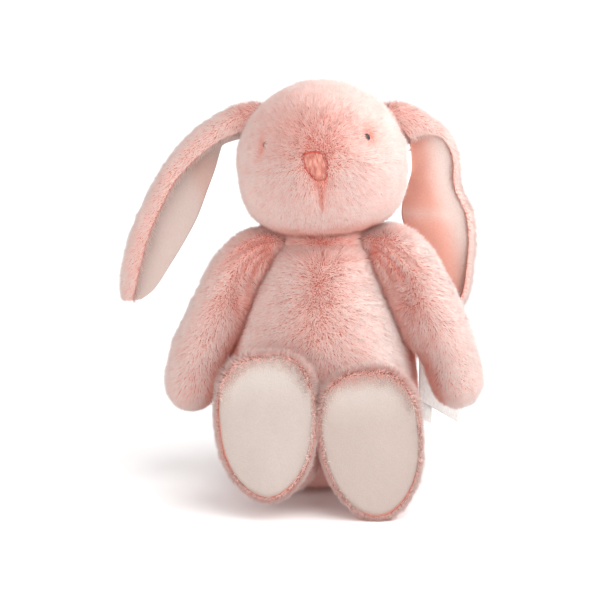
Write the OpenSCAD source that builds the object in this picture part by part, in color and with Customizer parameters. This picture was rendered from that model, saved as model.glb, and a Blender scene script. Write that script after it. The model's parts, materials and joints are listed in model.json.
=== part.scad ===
// Seated plush bunny: sewn plush panels over loose filling, floppy lined ears,
// velour soles, safety eyes, an embroidered nose and a bag of pellets in the seat.
// The bunny faces -Y, its own left side is +X, and it sits on the plane z = 0.

/* [Head] */
// Width of the head over the pile
head_w = 84; // [80:1:86]
// Height of the crown above the widest line of the head
crown_h = 41; // [40:1:43]
// Depth of the jaw below the widest line of the head
jaw_h = 34.5; // [33:0.5:35]
// Height of the widest line of the head above the floor
head_z = 158; // [157:0.5:160]
// Sideways tilt of the head, left ear up
head_roll = 4.5; // [0:0.5:5]
// Turn of the face towards the right arm
head_turn = 2; // [0:0.5:6]
// Angle of each eye from the middle of the face
eye_angle = 41.5; // [36:0.5:46]
// Diameter of the safety eye bead
eye_d = 5.6; // [4.6:0.2:6]
// Width of the embroidered nose
nose_w = 12.5; // [10:0.5:14]
// Height of the embroidered nose
nose_h = 15; // [12:0.5:17]

/* [Body] */
// Height of the body where the neck seam sits
body_h = 118.5; // [117:0.5:119]
// Widest diameter of the body over the pile
body_w = 96; // [92:1:97]
// Distance of the side seams behind the middle of the body
seam_y = 8; // [6:1:10]
// Radius of the round tail
tail_r = 14; // [10:1:15]

/* [Arms] */
// Angle of each arm forward of the body's side
arm_forward = 15; // [14:1:18]
// Scale of the arm's thickness
arm_fullness = 1; // [0.8:0.02:1]

/* [Legs] */
// Distance of the hips in front of the body's middle
hip_y = 39.5; // [38.5:0.5:40.5]
// Height of the hips above the floor
hip_z = 24; // [24:0.5:25]
// Width of the foot over the pile
foot_w = 48; // [44:1:49]
// Height of the foot along its sole, over the pile
foot_h = 70; // [64:1:70]
// Backward lean of the sole
sole_lean = 14; // [8:1:16]

/* [Cloth] */
// Thickness of the plush, backing and pile together
plush_t = 4; // [3:0.25:4]
// Thickness of the velour of the soles and ear linings
velour_t = 1.4; // [1:0.1:1.6]
// Thickness of the plush on the ears, which is trimmed shorter
ear_plush_t = 3.4; // [2.6:0.2:3.4]
// Thickness of a folded satin care label
label_t = 0.8; // [0.6:0.1:1.2]

/* [Hidden] */

// Colours of the cloth and trims
plush_pink = [0.93, 0.72, 0.68];
plush_deep = [0.90, 0.66, 0.61];
velour_cream = [0.94, 0.90, 0.86];
thread_coral = [0.86, 0.50, 0.43];
fill_white = [0.96, 0.96, 0.94];
satin_white = [0.97, 0.97, 0.96];
bead_black = [0.05, 0.04, 0.04];

// Play left between layers of one body
layer_gap = 0.2;
big = 400;

// Moves the toy from the middle of its body to the middle of its bounding box
place = [11, 6.6, 0];

// ---- Curves -----------------------------------------------------------------

// Point on a Catmull-Rom curve through the list p, u from 0 to 1
function blend4(a, b, c, d, t) =
    0.5 * (2 * b + (c - a) * t + (2 * a - 5 * b + 4 * c - d) * t * t
        + (3 * b - a - 3 * c + d) * t * t * t);
function at_segment(p, i, t) =
    blend4(p[max(i - 1, 0)], p[i], p[i + 1], p[min(i + 2, len(p) - 1)], t);
function along(p, u) =
    let (s = u * (len(p) - 1), i = min(floor(s), len(p) - 2)) at_segment(p, i, s - i);
function unit(v) = v / norm(v);

// Closed solid through a list of rings of equal length
module loft(rings) {
    n = len(rings[0]);
    last = (len(rings) - 1) * n;
    walls = [for (i = [0 : len(rings) - 2], j = [0 : n - 1])
        let (a = i * n + j, b = i * n + (j + 1) % n)
        each [[a, b, b + n], [a, b + n, a + n]]];
    caps = [[for (j = [n - 1 : -1 : 0]) j], [for (j = [0 : n - 1]) last + j]];
    polyhedron(points = [for (r = rings) each r], faces = concat(walls, caps), convexity = 8);
}

module front_half(y) {
    intersection() {
        children();
        translate([-big / 2, y - big, -big / 2]) cube(big);
    }
}

module back_half(y) {
    intersection() {
        children();
        translate([-big / 2, y, -big / 2]) cube(big);
    }
}

// ---- Head -------------------------------------------------------------------

head_y = -3;
jaw_power = 2.8;
eye_rise = 12.4;
eye_tilt = 19;
nose_rise = 1.6;

// Half outline of the head: an ellipse above the widest line, a fuller jaw below it
function head_outline(inset) =
    let (r = head_w / 2 - inset, top = crown_h - inset, jaw = jaw_h - inset)
    concat(
        [for (a = [90 : -7.5 : 7.5])
            [r * pow(cos(a), 2 / jaw_power), -jaw * pow(sin(a), 2 / jaw_power)]],
        [for (a = [0 : 7.5 : 82.5]) [r * cos(a), top * sin(a)]],
        [[0, top]]);

module head_solid(inset) {
    rotate_extrude($fn = 96) polygon(head_outline(inset));
}

// Puts a piece made about the head's middle into its place on the body
module on_head() {
    translate([0, head_y, head_z]) rotate([0, -head_roll, 0]) rotate([0, 0, -head_turn]) children();
}

// Radius of the head at a height above its widest line
function head_r(z) = head_w / 2 * sqrt(1 - pow(z / crown_h, 2));

// Local +Z points straight out of the head through the eye; side is 1 or -1
module at_eye(side) {
    rotate([0, 0, side * eye_angle])
        translate([0, -head_r(eye_rise), eye_rise])
            rotate([90 - eye_tilt, 0, 0]) children();
}

bead_sink = 2.9;
shank_r = 1.2;
shank_l = 10;
washer_r = 5;
washer_t = 1.4;
washer_depth = plush_t + 0.6;

module eye_pocket() {
    for (side = [1, -1]) {
        at_eye(side) {
            translate([0, 0, -bead_sink]) cylinder(r = eye_d / 2 + 0.3, h = 8, $fn = 32);
            translate([0, 0, -8]) cylinder(r = shank_r + 0.1, h = 8, $fn = 32);
        }
    }
}

module nose_prism(grow) {
    w = nose_w / 2 + grow;
    h = nose_h / 2 + grow;
    translate([0, 0, nose_rise]) rotate([90, 0, 0]) linear_extrude(60)
        polygon([[-0.62 * w, h], [0.62 * w, h], [w, 0.62 * h], [0.86 * w, -0.1 * h],
            [0.24 * w, -h], [-0.24 * w, -h], [-0.86 * w, -0.1 * h], [-w, 0.62 * h]]);
}

module mouth_prism(grow) {
    translate([-0.45 - grow, -60, -15.2 - grow]) cube([0.9 + 2 * grow, 60, 6 + 2 * grow]);
}

module head_cover() {
    difference() {
        head_solid(0);
        head_solid(plush_t);
        eye_pocket();
        difference() {
            nose_prism(0.15);
            head_solid(2.6);
        }
        difference() {
            mouth_prism(0.2);
            head_solid(2.3);
        }
    }
}

module head_front_panel() {
    color(plush_pink) on_head() front_half(4) head_cover();
}

module head_back_panel() {
    color(plush_deep) on_head() back_half(4) difference() {
        head_solid(0);
        head_solid(plush_t);
    }
}

module head_stuffing() {
    color(fill_white) on_head() difference() {
        head_solid(plush_t + layer_gap);
        for (side = [1, -1])
            at_eye(side) translate([0, 0, -14]) cylinder(r = washer_r + 0.6, h = 20, $fn = 32);
    }
}

module eye(side) {
    color(bead_black) on_head() at_eye(side) {
        sphere_z = -bead_sink + eye_d / 2 - 0.1;
        difference() {
            translate([0, 0, sphere_z]) sphere(r = eye_d / 2 - 0.1, $fn = 48);
            translate([0, 0, -bead_sink - 10 + 0.3]) cylinder(r = eye_d, h = 10, $fn = 48);
        }
        translate([0, 0, 0.3 - shank_l]) cylinder(r = shank_r, h = shank_l - bead_sink + 1, $fn = 32);
    }
}

module eye_washer(side) {
    color(satin_white) on_head() at_eye(side) translate([0, 0, -washer_depth - washer_t]) difference() {
        cylinder(r = washer_r, h = washer_t, $fn = 48);
        translate([0, 0, -1]) cylinder(r = shank_r + 0.05, h = washer_t + 2, $fn = 32);
    }
}

module nose_embroidery() {
    color(thread_coral) on_head() intersection() {
        difference() {
            head_solid(0.4);
            head_solid(2.5);
        }
        nose_prism(0);
    }
}

module mouth_stitch() {
    color(thread_coral) on_head() intersection() {
        difference() {
            head_solid(1.3);
            head_solid(2.2);
        }
        mouth_prism(0);
    }
}

// ---- Ears -------------------------------------------------------------------
// An ear is a sheet folded lengthwise round its outer line. Each station holds the
// outer line x z, the back rim x z, then the width and the reach of the front flap,
// the depth of the back flap at its middle and at its rim, and the depth of the
// outer line. Widths run in the plane of the face, depths run along Y.

ear_left_stations = [
    [31.5, 189.5, 43, 169.5, 13, 4.5, 5, 5.5, 4],
    [42, 190, 44, 162, 14, 5, 6, 8, 4],
    [53, 184.5, 44.5, 154, 7, 4.5, 5, 11, 4],
    [62, 176.5, 43.5, 148, 2.5, 3.5, 3.5, 13, 5],
    [69, 163.5, 42, 142, 1.5, 2.5, 3, 14, 6],
    [75, 147, 40.5, 136, 1.5, 2.5, 3, 14, 7],
    [79, 133, 40.5, 128, 1.5, 2.5, 3, 13, 8],
    [80, 118, 45, 117, 1.5, 2.5, 3, 11, 9],
    [78, 102.5, 53, 104.5, 1.5, 2, 2.5, 7, 9.5],
    [74.5, 91, 61, 93.5, 1.5, 2, 1.5, 4, 9.5],
    [70, 83, 64, 85, 1, 1.5, 1, 2, 9.5],
];
ear_right_stations = [
    [-30.5, 189.5, -42.5, 168.5, 13, 4.5, 5, 5.5, 4],
    [-44, 188.5, -49.5, 166, 13, 5, 5, 6, 3.5],
    [-57, 182.5, -51.5, 162, 9.5, 5, 5, 7, 3],
    [-69.5, 172, -54, 154, 8.5, 5, 5, 8, 2],
    [-81, 154, -58, 143.5, 7, 5, 5, 9, 1],
    [-90.5, 136, -63, 130, 7, 5, 5, 9, 0],
    [-96, 123, -69, 118.5, 7, 5, 5, 8, 0],
    [-100, 109, -76, 107, 7, 4.5, 4, 7, 0],
    [-102, 96.5, -84.5, 94, 6, 4, 3, 5, 0],
    [-100.5, 90, -91.5, 88.5, 3, 2.5, 2, 3, 0],
];
ear_rings = 22;
flap_steps = 13;

// Section of the sheet at one station: pairs of width and depth from front rim to back rim
function ear_fold(s) =
    let (b = norm([s[0] - s[2], s[1] - s[3]]) - ear_plush_t)
    [[-s[4], -s[5]], [-0.35 * s[4], -0.8 * s[5]], [0, 0], [-0.22 * b, 0.75 * s[6]],
        [-0.55 * b, s[6] + 0.3 * (s[7] - s[6])], [-b, s[7]]];
function fold_point(s, w) = along(ear_fold(s), w);
function fold_normal(s, w) =
    let (d = fold_point(s, min(w + 0.01, 1)) - fold_point(s, max(w - 0.01, 0)))
    unit([d[1], -d[0]]);

// One ring of the sheet between two offsets from the fold line
function ear_ring(s, outer, inner) =
    let (across = unit([s[0] - s[2], s[1] - s[3]]),
        mid = [s[0], s[1]] - across * ear_plush_t,
        ws = [for (k = [0 : flap_steps]) k / flap_steps],
        flat = concat(
            [for (w = ws) fold_point(s, w) + outer * fold_normal(s, w)],
            [for (k = [flap_steps : -1 : 0]) fold_point(s, ws[k]) + inner * fold_normal(s, ws[k])]))
    [for (p = flat) [mid[0] + across[0] * p[0], s[8] + p[1], mid[1] + across[1] * p[0]]];

module ear_sheet(stations, outer, inner) {
    rings = [for (i = [0 : ear_rings]) ear_ring(along(stations, i / ear_rings), outer, inner)];
    side = sign(stations[0][0]);
    loft(side < 0 ? rings : [for (r = rings) [for (j = [len(r) - 1 : -1 : 0]) r[j]]]);
}

module ear_plush(stations) {
    color(plush_pink) ear_sheet(stations, ear_plush_t, 0.05);
}

module ear_lining(stations) {
    color(velour_cream) ear_sheet(stations, -0.05, -velour_t);
}

module ellipse(a, b) {
    polygon([for (t = [0 : 10 : 350]) [a * cos(t), b * sin(t)]]);
}

// Stitches round the pinched root of an ear, open at its lower rim
module ear_seam_thread(side) {
    color(thread_coral) on_head() rotate([0, side * 58, 0]) translate([0, 4, 41.3])
        linear_extrude(0.6) difference() {
            ellipse(16, 11);
            ellipse(15.2, 10.2);
            translate([side * 26, 0]) square(36, center = true);
        }
}

// ---- Neck and body ----------------------------------------------------------

neck_x = sin(head_roll) * jaw_h;
neck_ball_r = 20;

module neck_stuffing() {
    color(fill_white) intersection() {
        translate([neck_x, head_y, body_h + 3.6 - neck_ball_r]) sphere(r = neck_ball_r, $fn = 64);
        translate([neck_x, head_y, body_h + 0.7]) cylinder(r = 9, h = 10, $fn = 48);
    }
}

module neck_seam_thread() {
    color(thread_coral) translate([neck_x, head_y, body_h + 2])
        rotate_extrude($fn = 64) translate([11, 0]) circle(r = 0.8, $fn = 24);
}

// Half outline of the pear-shaped body as radius and height, from the seat to the neck
body_curve = [[28, 0], [36.5, 2.6], [42.5, 10], [47, 24], [48, 38], [47.3, 53], [45.2, 66],
    [41.4, 79], [36, 92], [30.4, 104], [25.6, 113], [20, 118.5]];

function body_outline(inset) =
    let (n = 36, grow = body_w / 96, rise = body_h / 118.5,
        raw = [for (i = [0 : n]) let (p = along(body_curve, i / n)) [p[0] * grow, p[1] * rise]],
        out = [for (i = [0 : n])
            let (d = unit(raw[min(i + 1, n)] - raw[max(i - 1, 0)]))
            raw[i] + inset * [-d[1], d[0]]],
        low = inset,
        high = body_h - inset)
    concat([[0, low]],
        [for (p = out) [max(p[0], 1), min(max(p[1], low), high)]],
        [[0, high]]);

module body_solid(inset) {
    rotate_extrude($fn = 96) polygon(body_outline(inset));
}

// Hip position and height, with the leg's splay, lift and roll, for side 1 (left) or -1 (right)
function hip_x(side) = side > 0 ? 23 : -17;
function hip_rise(side) = side > 0 ? 0 : 2;
function leg_splay(side) = side > 0 ? 5 : -7.5;
function leg_lift(side) = side > 0 ? 0 : 8;
leg_roll = -6;
leg_root_r = 16;
hip_socket_r = 18.2;

module hip_sockets() {
    for (side = [1, -1])
        translate([hip_x(side), -hip_y, hip_z + hip_rise(side)]) sphere(r = hip_socket_r, $fn = 64);
}

// Room behind both sockets that the cloth and the filling keep clear of
module hip_bay(wall) {
    r = hip_socket_r + wall + 0.6;
    reach = hip_x(1) - hip_x(-1);
    translate([hip_x(-1), -hip_y, hip_z + hip_rise(-1) / 2]) rotate([0, 90, 0]) rotate_extrude($fn = 64)
        polygon(concat([[0, -r]],
            [for (a = [-80 : 10 : 0]) [r * cos(a), r * sin(a)]],
            [for (a = [0 : 10 : 80]) [r * cos(a), reach + r * sin(a)]],
            [[0, reach + r]]));
}

closing_z = 62;
closing_h = 26;

module closing_slot(grow) {
    translate([-0.9 - grow, 0, closing_z - grow]) cube([1.8 + 2 * grow, 60, closing_h + 2 * grow]);
}

module body_cover() {
    difference() {
        body_solid(0);
        hip_sockets();
        difference() {
            body_solid(plush_t);
            hip_bay(plush_t);
        }
    }
}

module body_front_panel() {
    color(plush_pink) front_half(seam_y) body_cover();
}

module body_back_panel() {
    color(plush_deep) difference() {
        back_half(seam_y) difference() {
            body_solid(0);
            body_solid(plush_t);
        }
        difference() {
            closing_slot(0.2);
            body_solid(2.6);
        }
    }
}

// Ladder stitches that close the opening in the back after filling
module closing_seam_thread() {
    rungs = 7;
    pitch = closing_h / rungs;
    color(thread_coral) intersection() {
        difference() {
            body_solid(1.4);
            body_solid(2.4);
        }
        translate([0, 60, closing_z]) rotate([90, 0, 0]) linear_extrude(60) {
            for (i = [0 : rungs - 1]) translate([-0.85, (i + 0.3) * pitch]) square([1.7, 0.7]);
            translate([-0.3, 0]) square([0.6, closing_h]);
        }
    }
}

pouch_r = 24;
pouch_h = 12;
pouch_wall = 0.8;
pouch_place = [0, 12, plush_t + layer_gap + pouch_h];

module pouch_solid(inset) {
    translate(pouch_place) rotate_extrude($fn = 64)
        polygon(concat([[0, -pouch_h + inset]],
            [for (a = [-80 : 10 : 80]) [(pouch_r - inset) * cos(a), (pouch_h - inset) * sin(a)]],
            [[0, pouch_h - inset]]));
}

// Room for the pouch under the filling, open down to the seat
module pouch_room() {
    r = pouch_r + layer_gap;
    h = pouch_h + layer_gap;
    translate(pouch_place) rotate_extrude($fn = 64)
        polygon(concat([[0, -2 * pouch_h], [r * cos(25), -2 * pouch_h]],
            [for (a = [-25 : 10 : 85]) [r * cos(a), h * sin(a)]],
            [[0, h]]));
}

module pellet_pouch() {
    color(satin_white) difference() {
        pouch_solid(0);
        pouch_solid(pouch_wall);
    }
}

module pellet_fill() {
    color([0.85, 0.85, 0.80]) pouch_solid(pouch_wall + layer_gap);
}

module body_stuffing() {
    color(fill_white) difference() {
        body_solid(plush_t + layer_gap);
        hip_bay(plush_t + layer_gap);
        pouch_room();
    }
}

// ---- Arms -------------------------------------------------------------------

// Middle line of an arm as distance from the body's middle, height and radius
arm_stations = [[29, 118.5, 4.6], [36.4, 114.8, 9.8], [44.8, 105.6, 11.8], [50.8, 92.6, 12.4],
    [56.4, 79.6, 13.1], [61.6, 66, 13.7], [65.8, 49.5, 13.5]];
arm_steps = 15;
arm_sides = 18;
cap_steps = 4;

// Rings of a limb with a round section along a line in the XZ plane, domed at both ends
function limb_ring(c, t, r) =
    [for (k = [0 : arm_sides - 1])
        let (a = 360 * k / arm_sides)
        [c[0] - t[1] * r * cos(a), r * sin(a), c[1] + t[0] * r * cos(a)]];
function limb_rings(stations, full, inset) =
    let (at = [for (i = [0 : arm_steps]) along(stations, i / arm_steps)],
        dir = [for (i = [0 : arm_steps])
            let (d = at[min(i + 1, arm_steps)] - at[max(i - 1, 0)]) unit([d[0], d[1]])],
        r = [for (s = at) s[2] * full - inset])
    concat(
        [for (i = [cap_steps : -1 : 1])
            let (a = 84 * i / cap_steps, c = [at[0][0], at[0][1]] - dir[0] * r[0] * sin(a))
            limb_ring(c, dir[0], r[0] * cos(a))],
        [for (i = [0 : arm_steps]) limb_ring(at[i], dir[i], r[i])],
        [for (i = [1 : cap_steps])
            let (a = 84 * i / cap_steps,
                c = [at[arm_steps][0], at[arm_steps][1]] + dir[arm_steps] * r[arm_steps] * sin(a))
            limb_ring(c, dir[arm_steps], r[arm_steps] * cos(a))]);

function arm_out(side) = side > 0 ? 2.5 : 0;

module on_shoulder(side) {
    root = arm_stations[0];
    mirror([side > 0 ? 0 : 1, 0, 0]) rotate([0, 0, -arm_forward])
        translate([root[0], 0, root[1]]) rotate([0, -arm_out(side), 0]) translate([-root[0], 0, -root[1]])
            children();
}

module arm_solid(inset) {
    loft(limb_rings(arm_stations, arm_fullness, inset));
}

module arm_cover() {
    difference() {
        arm_solid(0);
        arm_solid(plush_t);
    }
}

module arm_front_panel(side) {
    color(plush_pink) on_shoulder(side) front_half(0) arm_cover();
}

module arm_back_panel(side) {
    color(plush_deep) on_shoulder(side) back_half(0) arm_cover();
}

module arm_stuffing(side) {
    color(fill_white) on_shoulder(side) arm_solid(plush_t + layer_gap);
}

// Ring of stitches where the pinched top of an arm joins the body
module shoulder_thread(side) {
    root = arm_stations[0];
    color(thread_coral) on_shoulder(side) translate([root[0], 0, root[1]]) rotate([0, 116.6, 0])
        rotate_extrude($fn = 48) translate([root[2] * arm_fullness + 1, 0]) circle(r = 0.5, $fn = 24);
}

// ---- Legs -------------------------------------------------------------------

leg_l = 40.5;
leg_sides = 24;
sole_rise = foot_h / 2 * cos(sole_lean) - hip_z;

// Stations of a leg: reach from the hip, rise, half width, half height, toe fullness, lean
leg_stations = [
    [0, 0, leg_root_r, leg_root_r, 0, 0],
    [7, 0, 14.6, 14.6, 0, 0],
    [15, 0.15 * sole_rise, 15.8, 17, 0.01, 0.2 * sole_lean],
    [23, 0.4 * sole_rise, 0.38 * foot_w, 0.32 * foot_h, 0.03, 0.5 * sole_lean],
    [31, 0.78 * sole_rise, 0.45 * foot_w, 0.42 * foot_h, 0.06, 0.8 * sole_lean],
    [36, 0.97 * sole_rise, 0.49 * foot_w, 0.485 * foot_h, 0.08, sole_lean],
    [39, sole_rise, 0.5 * foot_w, 0.5 * foot_h, 0.08, sole_lean],
    [leg_l, sole_rise, 0.475 * foot_w, 0.48 * foot_h, 0.08, sole_lean],
];
leg_steps = 14;

// Egg outline with the toes at +Y, wider at the toes
function egg(a, b, k) =
    [for (i = [0 : leg_sides - 1])
        let (t = -360 * (i + 0.5) / leg_sides) [a * cos(t) * (1 + k * sin(t)), b * sin(t)]];
function leg_ring(s, inset) =
    [for (p = egg(s[2] - inset, s[3] - inset, s[4]))
        [p[0], p[1] * sin(s[5]) - s[0], s[1] + p[1] * cos(s[5])]];
function leg_rings(inset, past_sole) =
    let (root = leg_root_r - inset, end = along(leg_stations, 1))
    concat(
        [for (i = [cap_steps : -1 : 1])
            let (a = 84 * i / cap_steps, r = root * cos(a))
            leg_ring([-root * sin(a), 0, r, r, 0, 0], 0)],
        [for (i = [0 : leg_steps]) leg_ring(along(leg_stations, i / leg_steps), inset)],
        past_sole > 0
            ? [leg_ring(end + [past_sole, past_sole * tan(sole_lean), 0, 0, 0, 0], inset)]
            : []);

module on_hip(side) {
    translate([hip_x(side), -hip_y, hip_z + hip_rise(side)]) rotate([-leg_lift(side), 0, 0])
        rotate([0, 0, leg_splay(side)]) rotate([0, leg_roll, 0]) children();
}

// Local +Z points out of the sole and local +Y points at the toes
module at_sole() {
    translate([0, -leg_l, sole_rise]) rotate([90 - sole_lean, 0, 0]) children();
}

module leg_cover() {
    difference() {
        loft(leg_rings(0, 0));
        loft(leg_rings(plush_t, 4));
    }
}

module leg_panel(side, outer) {
    color(outer ? plush_pink : plush_deep) on_hip(side) intersection() {
        leg_cover();
        translate([(side > 0) == outer ? 0 : -big, -big / 2, -big / 2]) cube(big);
    }
}

module sole_shape(inset) {
    polygon(egg(0.475 * foot_w - plush_t - inset, 0.48 * foot_h - plush_t - inset, 0.08));
}

module sole(side) {
    color(velour_cream) on_hip(side) at_sole() translate([0, 0, -velour_t - 0.2])
        linear_extrude(velour_t) sole_shape(1.2);
}

module sole_thread(side) {
    color(thread_coral) on_hip(side) at_sole() translate([0, 0, -1.2]) linear_extrude(0.8) difference() {
        sole_shape(0.2);
        sole_shape(1);
    }
}

module leg_stuffing(side) {
    color(fill_white) on_hip(side) difference() {
        loft(leg_rings(plush_t + layer_gap, 0));
        at_sole() translate([0, 0, -velour_t - 0.4]) cylinder(r = foot_h, h = 20, $fn = 48);
    }
}

module hip_thread(side) {
    ring_r = hip_socket_r - 1.1;
    back = 4;
    color(thread_coral) translate([hip_x(side), -hip_y + back, hip_z + hip_rise(side)]) rotate([90, 0, 0])
        rotate_extrude($fn = 64) translate([sqrt(ring_r * ring_r - back * back), 0])
            circle(r = 0.6, $fn = 24);
}

// ---- Tail and labels --------------------------------------------------------

tail_z = 27;
tail_root_y = 47.6;
tail_off = 2;

module at_tail() {
    translate([0, tail_root_y + tail_off + tail_r, tail_z]) children();
}

module tail_cover() {
    color(plush_pink) at_tail() difference() {
        sphere(r = tail_r, $fn = 64);
        sphere(r = tail_r - plush_t, $fn = 64);
    }
}

module tail_stuffing() {
    color(fill_white) at_tail() sphere(r = tail_r - plush_t - layer_gap, $fn = 64);
}

module tail_seam_thread() {
    color(thread_coral) translate([0, tail_root_y + 0.8, tail_z]) rotate([90, 0, 0])
        rotate_extrude($fn = 48) translate([5.2, 0]) circle(r = 0.45, $fn = 24);
}

label_back = 16;
label_droop = 24;

// A folded tape whose sewn edge runs w down the side seam; it hangs l outward and droops
module folded_tape(w, l) {
    drop = l * tan(label_droop);
    rotate([90, 0, label_back]) translate([0, -w / 2, -label_t / 2]) linear_extrude(label_t)
        polygon([[0.4, 0], [l - 0.6, -drop], [l, 0.6 - drop],
            [l, w - drop - 0.6], [l - 0.6, w - drop], [0.4, w]]);
}

module care_label() {
    color(satin_white) translate([48.4, 8.4, 49]) folded_tape(24, 25);
}

module size_label() {
    color(satin_white) translate([48.5, 9.6, 33]) folded_tape(10, 8);
}

// ---- Nodes ------------------------------------------------------------------

module placed() {
    translate(place) children();
}

placed() head_front_panel();
placed() head_back_panel();
placed() head_stuffing();
placed() eye(1);  // eye_left
placed() eye(-1);  // eye_right
placed() eye_washer(1);  // eye_washer_left
placed() eye_washer(-1);  // eye_washer_right
placed() nose_embroidery();
placed() mouth_stitch();
placed() ear_plush(ear_left_stations);  // ear_left_plush
placed() ear_lining(ear_left_stations);  // ear_left_lining
placed() ear_plush(ear_right_stations);  // ear_right_plush
placed() ear_lining(ear_right_stations);  // ear_right_lining
placed() ear_seam_thread(1);  // ear_left_seam_thread
placed() ear_seam_thread(-1);  // ear_right_seam_thread
placed() neck_stuffing();
placed() neck_seam_thread();
placed() body_front_panel();
placed() body_back_panel();
placed() body_stuffing();
placed() pellet_pouch();
placed() pellet_fill();
placed() closing_seam_thread();
placed() arm_front_panel(1);  // arm_left_front_panel
placed() arm_back_panel(1);  // arm_left_back_panel
placed() arm_stuffing(1);  // arm_left_stuffing
placed() arm_front_panel(-1);  // arm_right_front_panel
placed() arm_back_panel(-1);  // arm_right_back_panel
placed() arm_stuffing(-1);  // arm_right_stuffing
placed() shoulder_thread(1);  // shoulder_left_thread
placed() shoulder_thread(-1);  // shoulder_right_thread
placed() leg_panel(1, true);  // leg_left_outer_panel
placed() leg_panel(1, false);  // leg_left_inner_panel
placed() leg_stuffing(1);  // leg_left_stuffing
placed() sole(1);  // sole_left
placed() sole_thread(1);  // sole_left_thread
placed() leg_panel(-1, true);  // leg_right_outer_panel
placed() leg_panel(-1, false);  // leg_right_inner_panel
placed() leg_stuffing(-1);  // leg_right_stuffing
placed() sole(-1);  // sole_right
placed() sole_thread(-1);  // sole_right_thread
placed() hip_thread(1);  // hip_left_thread
placed() hip_thread(-1);  // hip_right_thread
placed() tail_cover();
placed() tail_stuffing();
placed() tail_seam_thread();
placed() care_label();
placed() size_label();
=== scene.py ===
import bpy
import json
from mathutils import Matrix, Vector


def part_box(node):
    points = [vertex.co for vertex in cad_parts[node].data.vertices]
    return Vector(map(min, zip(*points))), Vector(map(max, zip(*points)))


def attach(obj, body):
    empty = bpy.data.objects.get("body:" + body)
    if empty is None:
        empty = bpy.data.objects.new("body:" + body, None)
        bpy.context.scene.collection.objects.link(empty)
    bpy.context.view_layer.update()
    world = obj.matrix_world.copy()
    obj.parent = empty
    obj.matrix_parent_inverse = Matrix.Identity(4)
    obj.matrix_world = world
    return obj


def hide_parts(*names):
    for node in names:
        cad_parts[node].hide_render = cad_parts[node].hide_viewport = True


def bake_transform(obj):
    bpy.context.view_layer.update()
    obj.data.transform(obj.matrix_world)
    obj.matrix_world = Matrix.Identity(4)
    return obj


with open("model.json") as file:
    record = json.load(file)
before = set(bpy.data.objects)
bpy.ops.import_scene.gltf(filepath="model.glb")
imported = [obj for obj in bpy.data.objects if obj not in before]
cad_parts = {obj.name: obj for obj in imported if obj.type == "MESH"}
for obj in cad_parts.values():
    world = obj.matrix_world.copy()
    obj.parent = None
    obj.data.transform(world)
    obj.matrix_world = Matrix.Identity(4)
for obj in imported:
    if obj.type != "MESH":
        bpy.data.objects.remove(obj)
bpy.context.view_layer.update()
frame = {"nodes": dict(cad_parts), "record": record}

# Looks of the seated plush bunny: cloth skins that carry modelled pile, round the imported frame.
# Shapes are worked out in millimetres about the middle of the body at the floor, facing -Y.
import copy
import json
import math

import bpy
import numpy as np
from mathutils import Matrix, Vector

MM = 0.001
DENSITY = 1.0

JOINTS = {j["name"]: j for j in frame["record"]["behaviour"]["joints"]}


def box_mm(node):
    lo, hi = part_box(node)
    return np.array(lo) / MM, np.array(hi) / MM


def joint_mm(name):
    return np.array(JOINTS[name]["pos_m"]) / MM


# ---- Anchors taken from the frame ----

back_lo, back_hi = box_mm("body_back_panel")
BODY_R = (back_hi[0] - back_lo[0]) / 2
ORIGIN = np.array([(back_lo[0] + back_hi[0]) / 2, back_hi[1] - BODY_R, 0.0])
HEAD_AXIS = np.array(JOINTS["neck_turn"]["axis"])
HEAD_R, CROWN, JAW, JAW_POWER = 42.0, 41.0, 34.5, 2.8
NECK_GAP = 0.8
HEAD_AT = joint_mm("neck_turn") + HEAD_AXIS * (JAW + NECK_GAP) - ORIGIN
HEAD_TURN = 2.0


# ---- Small vector tools ----

def unit(v):
    return v / np.maximum(np.linalg.norm(v, axis=-1, keepdims=True), 1e-9)


def turn(axis, degrees):
    return np.array(Matrix.Rotation(math.radians(degrees), 3, axis))


def smoothstep(lo, hi, x):
    t = np.clip((x - lo) / (hi - lo), 0, 1)
    return t * t * (3 - 2 * t)


def bell(q, wide):
    """1 where an offset is zero, fading to 0 a few widths away."""
    return np.exp(-(q ** 2).sum(1) / (2 * wide ** 2))


def spot(x, z, wide, tall):
    """1 where both offsets are zero, fading to 0 with a width of its own each way."""
    return np.exp(-(x ** 2) / (2 * wide ** 2) - (z ** 2) / (2 * tall ** 2))


def ridge(d, wide):
    """1 on a line, fading to 0 on both sides."""
    return np.exp(-(d / wide) ** 2)


def circle(count):
    """Cosines and sines of a full turn in even steps."""
    f = np.arange(count) / count * 2 * np.pi
    return np.cos(f), np.sin(f)


def revolve(r, z, count):
    """Rings about the z axis, one for each radius and height."""
    cos, sin = circle(count)
    return np.stack([r[:, None] * cos, r[:, None] * sin, np.repeat(z[:, None], count, 1)], axis=2)


def catmull(points, u):
    """Points on a Catmull-Rom curve through the rows of points, u from 0 to 1."""
    p = np.asarray(points, float)
    s = np.atleast_1d(u) * (len(p) - 1)
    i = np.minimum(s.astype(int), len(p) - 2)
    t = (s - i)[:, None]
    a, b, c, d = p[np.maximum(i - 1, 0)], p[i], p[i + 1], p[np.minimum(i + 2, len(p) - 1)]
    return 0.5 * (2 * b + (c - a) * t + (2 * a - 5 * b + 4 * c - d) * t ** 2
                  + (3 * b - a - 3 * c + d) * t ** 3)


def lattice(cell, seed):
    """A fixed value from -1 to 1 for each whole-number cell."""
    i = cell.astype(np.int64).astype(np.uint32)
    h = i[:, 0] * np.uint32(374761393) + i[:, 1] * np.uint32(668265263)
    h = h + i[:, 2] * np.uint32(2246822519) + np.uint32(seed * 40503 + 12345)
    h = (h ^ (h >> np.uint32(13))) * np.uint32(1274126177)
    h = (h ^ (h >> np.uint32(16))) * np.uint32(2654435761)
    return ((h >> np.uint32(8)).astype(float) / 2 ** 23) - 1


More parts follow.
